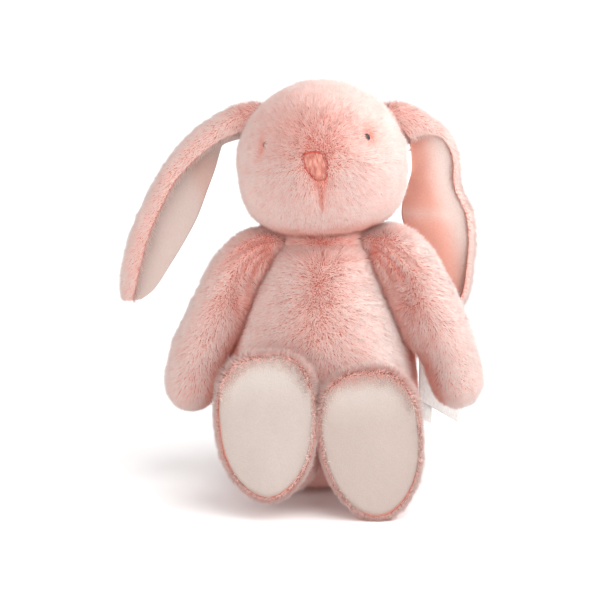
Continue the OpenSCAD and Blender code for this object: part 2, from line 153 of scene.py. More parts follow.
def noise(p, cell, seed):
    """Smooth noise from -1 to 1 at points p, with bumps about one cell across."""
    q = p / cell
    low = np.floor(q)
    f = q - low
    f = f * f * (3 - 2 * f)
    out = np.zeros(len(p))
    for dx in (0, 1):
        for dy in (0, 1):
            for dz in (0, 1):
                w = ((f[:, 0] if dx else 1 - f[:, 0]) * (f[:, 1] if dy else 1 - f[:, 1])
                     * (f[:, 2] if dz else 1 - f[:, 2]))
                out += w * lattice(low + np.array([dx, dy, dz]), seed)
    return out


def noise3(p, cell, seed):
    return np.stack([noise(p, cell, seed + k) for k in range(3)], axis=1)


# ---- Meshes ----

def new_mesh(name, verts_mm, faces, material, smooth=True):
    """An object from points in millimetres about the body and equal-length rows of vertex numbers."""
    faces = [np.asarray(f, np.int32) for f in faces if len(f)]
    mesh = bpy.data.meshes.new(name)
    mesh.vertices.add(len(verts_mm))
    mesh.vertices.foreach_set("co", ((verts_mm + ORIGIN) * MM).astype(np.float32).ravel())
    loops = np.concatenate([f.ravel() for f in faces])
    sizes = np.concatenate([np.full(len(f), f.shape[1], np.int32) for f in faces])
    mesh.loops.add(len(loops))
    mesh.loops.foreach_set("vertex_index", loops)
    mesh.polygons.add(len(sizes))
    starts = np.concatenate([[0], np.cumsum(sizes)[:-1]])
    mesh.polygons.foreach_set("loop_start", starts.astype(np.int32))
    mesh.polygons.foreach_set("loop_total", sizes)
    mesh.update(calc_edges=True)
    mesh.polygons.foreach_set("use_smooth", np.full(len(sizes), smooth))
    obj = bpy.data.objects.new(name, mesh)
    bpy.context.collection.objects.link(obj)
    obj.data.materials.append(material)
    return obj


def grid_faces(rows, cols, wrap=True):
    """Quads of a grid of rows of cols points; wrap joins each row's end to its start."""
    i, j = np.meshgrid(np.arange(rows - 1), np.arange(cols if wrap else cols - 1), indexing="ij")
    i, j = i.ravel(), j.ravel()
    k = (j + 1) % cols
    return np.stack([i * cols + j, i * cols + k, (i + 1) * cols + k, (i + 1) * cols + j], axis=1)


def grid_caps(rows, cols):
    """The two end faces of a wrapped grid."""
    return np.array([np.arange(cols)[::-1], (rows - 1) * cols + np.arange(cols)])


def vertex_normals(verts, quads):
    a, b, c, d = (verts[quads[:, k]] for k in range(4))
    face = np.cross(c - a, d - b)
    out = np.zeros_like(verts)
    for k in range(4):
        np.add.at(out, quads[:, k], face)
    return unit(out)


class Skin:
    """A closed cloth skin as a wrapped grid, kept in part coordinates with its place on the toy."""

    def __init__(self, rings, place=None, offset=(0, 0, 0)):
        rows, cols = rings.shape[:2]
        self.local = rings.reshape(-1, 3)
        self.quads = grid_faces(rows, cols)
        self.caps = grid_caps(rows, cols)
        a, b, c, d = (self.local[self.quads[:, k]] - self.local.mean(0) for k in range(4))
        if (np.cross(c - a, d - b) * (a + b + c + d)).sum() < 0:
            self.quads, self.caps = self.quads[:, ::-1], self.caps[:, ::-1]
        self.place = np.eye(3) if place is None else place
        self.offset = np.array(offset, float)
        self.normals = vertex_normals(self.local, self.quads)

    def move(self, local):
        """Puts the points at new places and works the normals out again."""
        self.local, self.normals = local, vertex_normals(local, self.quads)
        return self

    def out(self, p):
        return p @ self.place.T + self.offset

    def object(self, name, material):
        faces = [self.quads, self.caps]
        if np.linalg.det(self.place) < 0:
            faces = [f[:, ::-1] for f in faces]
        return new_mesh(name, self.out(self.local), faces, material)


TONES = 48
STEEPEST_LEAN = 0.93
ROOT_DEPTH = 0.35


def scatter(skin, per_mm2, rng, keep):
    """Random roots spread evenly over a skin, with their normals; keep thins them from 1 to 0."""
    a, b, c, d = (skin.quads[:, k] for k in range(4))
    tris = np.concatenate([np.stack([a, b, c], 1), np.stack([a, c, d], 1)])
    p0, p1, p2 = (skin.local[tris[:, k]] for k in range(3))
    area = np.linalg.norm(np.cross(p1 - p0, p2 - p0), axis=1) / 2
    if keep is not None:
        area = area * keep((p0 + p1 + p2) / 3, unit(np.cross(p1 - p0, p2 - p0)))
    count = int(area.sum() * per_mm2 * DENSITY)
    share = (np.arange(count) + rng.random(count)) / count
    pick = np.minimum(np.searchsorted(np.cumsum(area) / area.sum(), share), len(tris) - 1)
    u, v = rng.random(count), rng.random(count)
    over = u + v > 1
    u[over], v[over] = 1 - u[over], 1 - v[over]
    w = np.stack([1 - u - v, u, v], 1)[:, :, None]
    return (skin.local[tris[pick]] * w).sum(1), unit((skin.normals[tris[pick]] * w).sum(1))


def tuft_way(root, normal, lean, jitter, rng, seed):
    """The direction of each tuft: its lean along the cloth, with sway in patches and at random."""
    lean = lean - normal * (lean * normal).sum(1, keepdims=True)
    size = np.linalg.norm(lean, axis=1, keepdims=True)
    lean = lean * np.minimum(1, STEEPEST_LEAN / np.maximum(size, 1e-6))
    up = np.sqrt(1 - np.minimum(size, STEEPEST_LEAN) ** 2)
    sway = 0.17 * noise3(root, 1.9, seed + 11) + 0.12 * noise3(root, 5.5, seed + 23)
    sway = sway + jitter * rng.standard_normal((len(root), 3))
    sway -= normal * (sway * normal).sum(1, keepdims=True)
    return unit(normal * np.maximum(up, 0.25) + lean + sway)


def pile(name, skin, per_mm2, rule, length, width, material, seed, jitter, keep):
    """Grows tapered tufts of pile on a skin. rule(points, normals) gives, for each root, the way
    the pile leans (a vector under 1 long), a length factor and a tone from 0 (deep) to 1 (pale)."""
    rng = np.random.default_rng(seed)
    root, normal = scatter(skin, per_mm2, rng, keep)
    count = len(root)
    lean, grow, tone = rule(root, normal)
    way = tuft_way(root, normal, lean, jitter, rng, seed)
    uneven = 1 + 0.16 * noise(root, 2.6, seed + 31) + 0.10 * rng.standard_normal(count)
    long = np.clip(length * grow * uneven, 0.25 * length * np.minimum(grow, 1), 1.5 * length * grow)
    thick = width * (0.85 + 0.3 * rng.random(count)) * 1.0
    tone = tone + 0.10 * noise(root, 1.6, seed + 41) + 0.07 * noise(root, 9.0, seed + 43)
    tone = tone + 0.05 * rng.standard_normal(count)
    tone = np.clip(np.round(tone * (TONES - 1)), 0, TONES - 1).astype(int)

    side = unit(np.cross(way, normal + 0.01 * rng.standard_normal((count, 3))))
    other = np.cross(way, side)
    spin = rng.random(count) * 2 * np.pi
    corners = []
    for k in range(3):
        ang = (spin + k * 2 * np.pi / 3)[:, None]
        around = np.cos(ang) * side + np.sin(ang) * other
        corners.append(root - normal * ROOT_DEPTH + around * thick[:, None])
    verts = np.stack(corners + [root + way * long[:, None]], axis=1)
    faces = np.concatenate([np.arange(count)[:, None] * 4 + np.array([corner])
                            for corner in ([0, 1, 3], [1, 2, 3], [2, 0, 3], [2, 1, 0])])
    if np.linalg.det(skin.place) < 0:
        faces = faces[:, ::-1]
    print(f"{name}: {count} tufts")
    obj = new_mesh(name, skin.out(verts.reshape(-1, 3)), [faces], material)
    core = (root + 0.4 * way * long[:, None])[:, None, :]
    shade = unit(normal[:, None, :] * 0.85 + way[:, None, :] * 0.25 + 0.35 * unit(verts - core))
    paint_pile(obj.data, faces, tone, unit(shade.reshape(-1, 3) @ skin.place.T))
    return obj


def paint_pile(mesh, faces, tone, shade):
    """Shading normals, the attributes that the material reads, and a bake cell for each tone."""
    mesh.normals_split_custom_set_from_vertices(shade.astype(np.float32))
    along = np.tile([0.0, 0.0, 0.0, 1.0], len(tone))
    for name, values in (("tip", along), ("tone", np.repeat(tone / (TONES - 1), 4))):
        mesh.attributes.new(name, "FLOAT", "POINT").data.foreach_set("value", values.astype(np.float32))
    row = np.tile([0.1, 0.5, 0.9, 0.5], len(tone))
    uv = np.stack([0.01 + 0.98 * along, (np.repeat(tone, 4) + row) / TONES], 1)
    layer = mesh.uv_layers.new(name="OFBake")
    layer.data.foreach_set("uv", uv[faces.ravel()].astype(np.float32).ravel())


# ---- Materials ----

def srgb(r, g, b):
    """Linear colour from 0 to 255 display values."""
    v = np.array([r, g, b]) / 255
    return tuple(np.where(v <= 0.04045, v / 12.92, ((v + 0.055) / 1.055) ** 2.4)) + (1.0,)


def material(name, roughness=0.8, sheen=0.0, sheen_tint=(1, 1, 1, 1), specular=0.5):
    mat = bpy.data.materials.new(name)
    mat.use_nodes = True
    shader = mat.node_tree.nodes["Principled BSDF"]
    for socket, value in (("Roughness", roughness), ("Specular IOR Level", specular),
                          ("Sheen Weight", sheen), ("Sheen Roughness", 0.4),
                          ("Sheen Tint", sheen_tint)):
        shader.inputs[socket].default_value = value
    return mat, mat.node_tree, shader


def ramp(tree, source, low, high, at=(0.3, 0.7)):
    """Colour that runs from low to high as a value goes from one place to the other."""
    node = tree.nodes.new("ShaderNodeValToRGB")
    for element, position, colour in zip(node.color_ramp.elements, at, (low, high)):
        element.position, element.color = position, colour
    tree.links.new(source, node.inputs["Fac"])
    return node.outputs["Color"]


def attribute(tree, name):
    node = tree.nodes.new("ShaderNodeAttribute")
    node.attribute_name = name
    return node.outputs["Fac"]


def mix(tree, factor, a, b):
    node = tree.nodes.new("ShaderNodeMix")
    node.data_type = "RGBA"
    tree.links.new(factor, node.inputs["Factor"])
    tree.links.new(a, node.inputs[6])
    tree.links.new(b, node.inputs[7])
    return node.outputs[2]


def texture_noise(tree, scale, detail=2.0, stretch=None):
    """Noise in object coordinates; scale is in bumps for each metre."""
    where = tree.nodes.new("ShaderNodeTexCoord").outputs["Object"]
    if stretch is not None:
        mapping = tree.nodes.new("ShaderNodeMapping")
        mapping.inputs["Scale"].default_value = stretch
        tree.links.new(where, mapping.inputs["Vector"])
        where = mapping.outputs["Vector"]
    node = tree.nodes.new("ShaderNodeTexNoise")
    node.inputs["Scale"].default_value = scale
    node.inputs["Detail"].default_value = detail
    tree.links.new(where, node.inputs["Vector"])
    return node.outputs["Fac"]


def bump(tree, shader, height, distance, strength=1.0):
    node = tree.nodes.new("ShaderNodeBump")
    node.inputs["Distance"].default_value = distance
    node.inputs["Strength"].default_value = strength
    tree.links.new(height, node.inputs["Height"])
    tree.links.new(node.outputs["Normal"], shader.inputs["Normal"])


def plush_material(name, deep_root, deep_tip, pale_root, pale_tip, painted_glow=0.05):
    mat, tree, shader = material(name, roughness=0.95, specular=0.0)
    # The emission is a painted glow that stands in for light scattered through the deep pile.
    shader.inputs["Emission Color"].default_value = srgb(255, 140, 122)
    shader.inputs["Emission Strength"].default_value = painted_glow
    # Each tuft runs from a darker root to a paler tip; the darker roots are partly the pile's own
    # deeper colour and partly painted shade deep in the pile.
    tip = attribute(tree, "tip")
    deep = ramp(tree, tip, deep_root, deep_tip, at=(0.0, 0.85))
    pale = ramp(tree, tip, pale_root, pale_tip, at=(0.0, 0.85))
    tree.links.new(mix(tree, attribute(tree, "tone"), deep, pale), shader.inputs["Base Color"])
    return mat


def velour_material(name, low, high, bounce_low, bounce_high):
    """Short napped cloth; one attribute mixes in painted pink bounce light from the plush, and another
    mixes in painted grey shade.
    """
    mat, tree, shader = material(name, roughness=0.9, sheen=0.35, sheen_tint=srgb(255, 235, 226))
    nap = texture_noise(tree, 1500, 3.0)
    drift = texture_noise(tree, 90, 2.0)
    worn, fresh = (ramp(tree, nap, low, high, at=(0.3, top)) for top in (0.7, 0.6))
    plain = mix(tree, drift, worn, fresh)
    pink = ramp(tree, nap, bounce_low, bounce_high)
    lit = mix(tree, attribute(tree, "painted_bounce"), plain, pink)
    grey = tree.nodes.new("ShaderNodeRGB").outputs[0]
    grey.default_value = srgb(150, 128, 120)
    tree.links.new(mix(tree, attribute(tree, "shade"), lit, grey), shader.inputs["Base Color"])
    bump(tree, shader, nap, 0.0002, 0.6)
    return mat


def cloth_material(name, low, high, scale, stretch=None, depth=0.0002, roughness=0.85, sheen=0.3,
                   specular=0.5):
    mat, tree, shader = material(name, roughness=roughness, sheen=sheen, specular=specular)
    grain = texture_noise(tree, scale, 3.0, stretch)
    tree.links.new(ramp(tree, grain, low, high), shader.inputs["Base Color"])
    bump(tree, shader, grain, depth, 0.6)
    return mat


PLUSH = plush_material("plush_pile", srgb(240, 112, 97), srgb(250, 176, 159),
                       srgb(252, 201, 187), srgb(255, 246, 241))
# A lit copy of the plush for the pile round the soles: paler colours and a stronger painted glow stand
# in for light passing through the fibres.
LIT_RIM_PLUSH = plush_material("rim_pile", srgb(244, 150, 134), srgb(252, 196, 182),
                           srgb(253, 206, 193), srgb(255, 246, 241), painted_glow=0.13)
BACKING = cloth_material("plush_backing", srgb(216, 128, 112), srgb(228, 146, 130), 900,
                         sheen=0.0, specular=0.0)
# A darker copy of the plush backing for the leg skins, which shows at the sole seams: painted shade in
# the seam line and deep in the leg pile.
SHADED_LEG_BACKING = cloth_material("shaded_leg_backing", srgb(176, 116, 104), srgb(190, 130, 118), 900,
                     sheen=0.0, specular=0.0)
VELOUR = velour_material("cream_velour", srgb(231, 219, 212), srgb(242, 232, 226),
                         srgb(236, 170, 152), srgb(244, 184, 166))
SOLE = velour_material("sole_velour", srgb(182, 171, 164), srgb(192, 181, 174),
                       srgb(226, 152, 134), srgb(236, 168, 150))
THREAD = cloth_material("coral_thread", srgb(164, 84, 70), srgb(206, 144, 128), 700,
                        stretch=(1, 1, 0.4), depth=0.0001, roughness=0.5, sheen=0.1)
EDGE_THREAD = cloth_material("shadowed_thread", srgb(154, 46, 38), srgb(188, 78, 64), 700,
                             stretch=(1, 1, 0.4), depth=0.0001, roughness=0.6, sheen=0.1)
SATIN = cloth_material("white_satin", srgb(198, 194, 192), srgb(220, 217, 214), 3000,
                       stretch=(1, 1, 0.15), depth=0.0001, roughness=0.45, sheen=0.2)
POUCH = cloth_material("pouch_cloth", srgb(225, 222, 212), srgb(240, 238, 230), 2200)
FILL = cloth_material("filling_fibre", srgb(238, 238, 234), srgb(250, 250, 248), 500)
PELLET = cloth_material("pellet_plastic", srgb(210, 210, 200), srgb(226, 226, 216), 350,
                        depth=0.001, roughness=0.5, sheen=0.0)
WASHER = cloth_material("washer_plastic", srgb(224, 224, 220), srgb(236, 236, 232), 600,
                        depth=0.0001, roughness=0.5, sheen=0.0)


def tinted(obj, painted_bounce, shade=0.0):
    """Gives a velour piece its painted pink bounce light and its painted shade, each from 0 to 1."""
    for name, values in (("painted_bounce", painted_bounce), ("shade", shade)):
        values = np.broadcast_to(values, len(obj.data.vertices)).astype(np.float32)
        obj.data.attributes.new(name, "FLOAT", "POINT").data.foreach_set("value", values)
    return obj


def bead_material():
    mat, tree, shader = material("bead_black", roughness=0.12)
    speck = texture_noise(tree, 900, 2.0)
    black = ramp(tree, speck, srgb(10, 8, 8), srgb(20, 16, 16))
    tree.links.new(black, shader.inputs["Base Color"])
    shader.inputs["Coat Weight"].default_value = 0.3
    shader.inputs["Coat Roughness"].default_value = 0.05
    return mat


BEAD = bead_material()
SLOT_MATERIALS = {"pink_plush": BACKING, "cream_velour": VELOUR, "coral_thread": THREAD,
                  "bead_black": BEAD, "washer_plastic": WASHER, "white_satin": SATIN,
                  "pouch_cloth": POUCH, "pellets": PELLET, "filling": FILL}
for part in frame["record"]["subparts"]:
    node = frame["nodes"][part["node"]]
    node.data.materials.clear()
    node.data.materials.append(SLOT_MATERIALS[part["material_slot"]])

SIDES = ((1, "left"), (-1, "right"))
PILE_LENGTH = 4.4
SKIN_INSET = 2.2
HEAD_INSET = SKIN_INSET + 1.1


def dress(obj, body=None, replaces=(), bend=None):
    if bend:
        start, end = (tuple((point + ORIGIN) * MM) for point in bend[2:])
        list(bend[:2])
        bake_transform(obj)
        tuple(start)
        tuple(end)
    else:
        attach(obj, body)
    if replaces:
        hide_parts(*replaces)


def fur(name, skin, per_mm2, rule, width, seed, body=None, bend=None, keep=None,
        length=PILE_LENGTH, material=PLUSH, jitter=0.16):
    """Grows pile on a skin as a plush piece, attached to the given body or, where a bend is given, left
    fixed in place.
    """
    tufts = pile(name, skin, per_mm2, rule, length, width, material, seed, jitter, keep)
    dress(tufts, body, bend=bend)


# ---- Stitches ----

def tube(path, radius, outward, sides=7):
    """Rings of a tube of changing radius round a path."""
    tangent = unit(np.gradient(path, axis=0))
    side = unit(np.cross(tangent, outward))
    up = np.cross(side, tangent)
    cos, sin = circle(sides)
    r = np.broadcast_to(np.asarray(radius, float), len(path))[:, None, None]
    return path[:, None, :] + r * (cos[None, :, None] * side[:, None, :]
                                   + sin[None, :, None] * up[:, None, :])


def stitches(name, paths, radius, body, replaces, on, outward=(0, -1.0, 0), thread=THREAD):
    """One object from many short threads on a skin, each tapered and closed at both ends."""
    verts, quads, caps, start = [], [], [], 0
    for path in paths:
        t = np.linspace(0, 1, len(path))
        taper = np.minimum(1, 0.35 + 4 * np.minimum(t, 1 - t))
        rings = tube(path, radius * taper, np.array(outward))
        rows, cols = rings.shape[:2]
        verts.append(rings.reshape(-1, 3))
        quads.append(grid_faces(rows, cols) + start)
        caps.append(grid_caps(rows, cols) + start)
        start += rows * cols
    faces = [np.concatenate(quads), np.concatenate(caps)]
    obj = new_mesh(name, on.out(np.concatenate(verts)), faces, thread)
    dress(obj, body, replaces)


def running_stitch(point, count, span=1.25, steps=5):
    """Paths of threads laid end over end along point(u), u from 0 to 1."""
    return [point(np.linspace(i, i + span, steps) / count) for i in range(count)]


# ---- Head ----

HEAD_TILT = math.degrees(math.atan2(-HEAD_AXIS[0], HEAD_AXIS[2]))
HEAD_PLACE = turn("Y", -HEAD_TILT) @ turn("Z", -HEAD_TURN)
EYE_ANGLE, EYE_RISE, BEAD_DEPTH = 43.0, 13.8, 3.1
NOSE_Z, NOSE_W, NOSE_H, MOUTH_X = 1.1, 11.0, 14.0, 1.5


def head_radius(z, inset):
    """Radius of the head at a height above its widest line."""
    up = np.sqrt(np.maximum(0, 1 - (np.maximum(z, 0) / (CROWN - inset)) ** 2))
    down = np.maximum(0, 1 - (np.maximum(-z, 0) / (JAW - inset)) ** JAW_POWER) ** (1 / JAW_POWER)
    return (HEAD_R - inset) * np.where(z > 0, up, down)


def on_head(x, z, inset):
    """Point on the front of the head at a sideways and upward place."""
    r = head_radius(np.asarray(z, float), inset)
    return np.stack([x, -np.sqrt(np.maximum(r ** 2 - x ** 2, 0)), z], axis=-1)


def eye_at(side):
    r = head_radius(np.array(EYE_RISE), 0)
    a = math.radians(EYE_ANGLE)
    return np.array([side * r * math.sin(a), -r * math.cos(a), EYE_RISE])


def head_shape(p):
    """Pulls in the eyes, the nose and the mouth line, and fills the muzzle."""
    x, y, z = p.T
    move = np.zeros(len(p))
    for side in (1, -1):
        q = p - eye_at(side)
        move -= 1.5 * bell(q, 3.6)
        under_eye = np.array([-side, 0, -5.5])
        move -= 0.9 * bell(q - under_eye, 4.5)
    front = smoothstep(10, 30, -y)
    move += front * spot(x, z + 6, 14, 11)
    move -= 1.1 * front * (ridge(x, 1.3) * smoothstep(-26, -12, z) * smoothstep(-5, -9, z))
    nose = np.exp(-((x / 6.2) ** 4) - (((z - NOSE_Z) / 8.4) ** 4))
    move -= 0.9 * front * nose
    return p + unit(p) * move[:, None]


def head_skin():
    top, jaw, wide = CROWN - HEAD_INSET - 0.4, JAW - SKIN_INSET, HEAD_R - HEAD_INSET
    a = np.linspace(-0.995, 1, 110) * np.pi / 2
    z = np.where(a > 0, top * np.sin(a), -jaw * np.abs(np.sin(a)) ** (2 / JAW_POWER))
    r = np.where(a > 0, wide * np.cos(a), wide * np.abs(np.cos(a)) ** (2 / JAW_POWER))
    skin = Skin(revolve(np.maximum(r, 0.05), z, 180), HEAD_PLACE, HEAD_AT)
    return skin.move(head_shape(skin.local))


def head_pile_rule(p, n):
    """Pile stands up over the brow and runs out and down over the cheeks and the back; its tone is
    darker under the jaw and round the eyes as painted shade.
    """
    x, y, z = p.T
    front = y < 0
    from_nose = p - np.array([0, -HEAD_R, 6])
    out = unit(from_nose * np.array([1.0, 0.5, 0.6]))
    amount = 0.10 + 0.66 * smoothstep(16, 48, np.linalg.norm(from_nose, axis=1))
    brow = spot(x + 3, z - 20, 19, 12) * smoothstep(5, 20, -y)
    down = np.array([0, 0, -1.0]) * (0.25 + 0.25 * (z < 0))[:, None] * 0.8
    lean = out * amount[:, None] * (1 - 0.75 * brow[:, None]) + down
    # The last term darkens the pile under the jaw: painted shade where the head overhangs the body.
    tone = 0.73 - 0.19 * brow + 0.07 * smoothstep(10, 40, np.abs(x)) - 0.6 * smoothstep(-23, -32, z)
    near_nose = spot(x, z - NOSE_Z + 1, 6.5, 7.5) * front
    mouth = ridge(x - MOUTH_X, 1.2 + 0.28 * np.maximum(z + 16, 0)) * (z < -3) * (z > -19) * front
    beside_nose = np.exp(-((np.abs(x - 1) - 12) / 7) ** 2 - ((z - NOSE_Z + 2) / 10) ** 2) * front
    tone = tone - 0.55 * mouth + 0.1 * near_nose + 0.16 * beside_nose
    grow = (1 - 0.2 * brow) * (1 - 0.5 * near_nose) * (1 - 0.35 * mouth)
    # Round each sunk eye the pile is shorter, and its darker tone there is painted shade.
    for side, cut, narrow, tall in ((1, 0.85, 1.0, 0.9), (-1, 0.97, 1.6, 0.55)):
        near = bell((p - eye_at(side) * 0.93) * np.array([narrow, narrow, tall]), 2.7)
        grow *= 1 - cut * near
        tone = tone - 0.8 * near
    return lean, grow, tone


HEAD = head_skin()
dress(HEAD.object("head_skin", BACKING), "head",
      ("head_front_panel", "head_back_panel"))


def nose_width(v):
    """Half width of the nose at a share of its height from the tip (0) to the top edge (1)."""
    share = np.interp(v, [0, 0.1, 0.3, 0.55, 0.85, 1.0], [0.28, 0.52, 0.8, 0.96, 1.0, 0.8])
    return NOSE_W / 2 * share


def nose_slant(v):
    """The nose leans: its lower end lies a little towards the left ear."""
    return 3.2 * (0.55 - v)


def off_nose(p):
    """1 away from the embroidered nose, 0 under it."""
    v = (p[:, 2] - NOSE_Z) / NOSE_H + 0.5
    across = np.abs(p[:, 0] - nose_slant(v))
    return 1.0 - ((across < nose_width(v) - 0.3) & (v > 0) & (v < 1) & (p[:, 1] < 0))


for name, low, high, seed in (("head_pile_brow", 4, 99, 101), ("head_pile_cheeks", -99, 4, 103)):
    fur(name, HEAD, 6.5, head_pile_rule, 0.19, seed, "head",
        keep=lambda p, n: (p[:, 1] < 2) * (p[:, 2] > low) * (p[:, 2] <= high) * off_nose(p))
fur("head_pile_back", HEAD, 3.4, head_pile_rule, 0.26, 102, "head", keep=lambda p, n: p[:, 1] >= 2)


def ball(radius, rows, count):
    """Rings of a ball that leave a pinhole at each pole for the end faces."""
    a = np.linspace(-0.99, 0.99, rows) * np.pi / 2
    return revolve(radius * np.cos(a), radius * np.sin(a), count)


def bead(name, side, radius):
    """A round eye bead sunk under the head's surface."""
    centre = eye_at(side) - unit(eye_at(side)) * (BEAD_DEPTH + radius)
    skin = Skin(ball(radius, 24, 32) + centre, HEAD_PLACE, HEAD_AT)
    dress(skin.object(f"{name}_bead", BEAD), "head", (name,))


bead("eye_left", 1, 2.2)
bead("eye_right", -1, 2.3)


def ear_seam(side):
    """Half ring of thread round the upper side of an ear's root."""
    tilt = turn("Y", side * 58)
    centre = tilt @ np.array([0, 4, HEAD_R - SKIN_INSET - 0.4])

    def point(u):
        f = np.pi * (0.5 + u) if side > 0 else np.pi * (u - 0.5)
        return centre + np.stack([6.5 * np.cos(f), 4.4 * np.sin(f), np.zeros(len(f))], 1) @ tilt.T
    return point


for side, name in SIDES:
    stitches(f"ear_{name}_stitches", running_stitch(ear_seam(side), 12), 0.35, "head",
             (f"ear_{name}_seam_thread",), HEAD)


# ---- Body ----

BODY_CURVE = np.array([[28, 0], [36.5, 2.6], [42.5, 10], [47, 24], [48, 38], [47.3, 53], [45.2, 66],
                       [41.4, 79], [36, 92], [30.4, 104], [25.6, 113], [20, 118.5]])
NECK_CURVE = np.array([[18.8, 119.6], [18.2, 122.6], [15, 125], [8, 126.4], [0.5, 126.8]])
HIPS, SHOULDERS = ({side: joint_mm(f"{limb}_{name}_swing") - ORIGIN for side, name in SIDES}
                   for limb in ("leg", "arm"))


def body_skin():
    curve = catmull(BODY_CURVE, np.linspace(0, 1, 90))
    tangent = unit(np.gradient(curve, axis=0))
    curve = curve + SKIN_INSET * np.stack([-tangent[:, 1], tangent[:, 0]], 1)
    seat = np.stack([np.linspace(0.5, curve[0, 0], 10)[:-1], np.full(9, curve[0, 1])], 1)
    curve = np.concatenate([seat, curve, NECK_CURVE])
    skin = Skin(revolve(curve[:, 0], curve[:, 1], 200))
    lean_in = smoothstep(90, 118, skin.local[:, 2])
    p = skin.local + np.array([1.2, -1.2, 0]) * lean_in[:, None]
    move = np.zeros(len(p))
    for side in (1, -1):
        move -= 0.6 * ridge(p[:, 1] - 8, 1.4) * (side * p[:, 0] > 10)
        move -= 0.7 * bell(p - SHOULDERS[side] + np.array([0, 0, 8.0]), 9)
    return skin.move(p + skin.normals * move[:, None])


def arm_crease_shade(p):
    """Painted shade: 1 in the creases where the arms lie against the body, 0 away from them."""
    x, y, z = p.T
    crease = np.interp(z, [40, 60, 80, 100, 112], [45, 43.5, 38, 30, 23]) - 1.5 * (x < 0)
    return smoothstep(-4, 0.5, np.abs(x) - crease) * smoothstep(10, -6, y) * smoothstep(38, 52, z)


def body_pile_rule(p, n):
    """Pile points forward high on the chest and runs down and outward below and round the back; its
    tone carries painted light and painted shade.
    """
    x, y, z = p.T
    q = p - np.array([-2, -BODY_R + 6, 100])
    amount = 0.35 + 0.45 * smoothstep(8, 62, np.linalg.norm(q * np.array([1, 0.6, 1]), axis=1))
    chest = spot(q[:, 0], q[:, 2], 17, 30) * (y < 0)
    away = unit(q * np.array([1.0, 0.6, 0.3])) * (amount * 0.4)[:, None]
    down = np.array([0, 0, -0.6]) * (1 - 0.25 * chest - 0.55 * smoothstep(104, 120, z))[:, None]
    # Tone: painted light on the front's +x side, which faces the key light; painted shade under the
    # head, in the arm creases and low down towards the floor.
    tone = 0.82 - 0.05 * chest + 0.14 * smoothstep(14, 34, x) * (y < 0)
    tone = tone - 0.4 * smoothstep(106, 121, z) - 0.85 * arm_crease_shade(p) - 0.25 * smoothstep(22, 8, z)
    return away + down, np.where((n[:, 2] < -0.7) & (z < 6), 0.45, 1.0), tone


def body_keep(front, low=-9, high=199):
    """Pile on the front or the back between two heights: thin under the seat, none under the hips."""
    def keep(p, n):
        share = ((p[:, 1] < 0) if front else (p[:, 1] >= 0)) * (p[:, 2] > low) * (p[:, 2] <= high)
        share = share * np.where((n[:, 2] < -0.8) & (p[:, 2] < 6), 0.5, 1.0)
        for hip in HIPS.values():
            inside = np.linalg.norm((p - hip)[:, [0, 2]], axis=1) < 11
            share = share * np.where(inside & (p[:, 1] < -20), 0.02, 1.0)
        return share
    return keep


BODY = body_skin()
dress(BODY.object("body_skin", BACKING), "torso",
      ("body_front_panel", "body_back_panel"))
for name, low, high, seed in (("body_pile_chest", 66, 199, 201), ("body_pile_belly", -9, 66, 203)):
    fur(name, BODY, 5.4, body_pile_rule, 0.20, seed, "torso", keep=body_keep(True, low, high))
fur("body_pile_back", BODY, 3.0, body_pile_rule, 0.27, 202, "torso", keep=body_keep(False))


def closing_zigzag(u):
    """Ladder stitch up the middle of the back."""
    z = 62 + 26 * u
    y = np.interp(z, BODY_CURVE[:, 1], BODY_CURVE[:, 0]) - SKIN_INSET + 0.2
    swing = np.sin(u * np.pi * 14)
    return np.stack([0.9 * np.sign(swing) * np.minimum(1, 3 * np.abs(swing)), y, z], 1)


stitches("closing_stitches", running_stitch(closing_zigzag, 14, 1.0, 9), 0.32, "torso",
         ("closing_seam_thread",), BODY, outward=(0, 1.0, 0))


# ---- Arms ----

ARM_FORWARD = 15.0
ARM_INSET = 2.5
ARM_OUT = {1: 2.5, -1: 0.0}
ARM_LINE = np.array([[20, 118.6, 7.2], [28, 118.2, 9.6], [36.4, 114.8, 11.2], [44.8, 105.6, 11.8],
                     [50.8, 92.6, 12.4], [56.4, 79.6, 13.1], [61.6, 66, 13.7], [65.8, 49.5, 13.5]])
ARM_ROOT = np.array([ARM_LINE[0, 0], 0, ARM_LINE[0, 1]])
SWIRL = np.array([43.0, -11.0, 88.0])


def arm_across(p):
    """How far each point lies outward of the arm's middle line, and how far down the arm it is."""
    line = catmull(ARM_LINE, np.linspace(0, 1, 40))[:, :2]
    step = unit(np.gradient(line, axis=0))
    gap = p[:, None, [0, 2]] - line[None, :, :]
    near = (gap ** 2).sum(2).argmin(1)
    gap = gap[np.arange(len(p)), near]
    length = np.concatenate([[0], np.cumsum(np.linalg.norm(np.diff(line, axis=0), axis=1))])
    return gap[:, 1] * step[near, 0] - gap[:, 0] * step[near, 1], length[near]


def arm_folds(p, n):
    """Lines of three folds that fan out from the root over the front of the arm, 0 to 1."""
    across, reach = arm_across(p)
    fan = 0.3 + reach / 24
    fold = sum(ridge(across - c * fan, 1.1) for c in (-5.0, -0.8, 3.6))
    fold = fold * smoothstep(42, 22, reach) * smoothstep(4, 10, reach)
    return fold * smoothstep(0.1, -0.5, n[:, 1])


def own_shape(line, side):
    """The left arm is fuller on top and thinner below, and the right one lies flatter on top."""
    x, z = line[:, 0], line[:, 1]
    if side > 0:
        thin = smoothstep(80, 50, z)
        full = smoothstep(60, 78, z) * smoothstep(24, 34, x)
        return line + np.stack([0.5 * thin, 0.3 * thin, 2.0 * full - 0.2 * thin], 1)
    flat = smoothstep(96, 107, z) * smoothstep(22, 34, x)
    return line - np.stack([0.8 * flat, 0.8 * flat, np.zeros(len(flat))], 1)


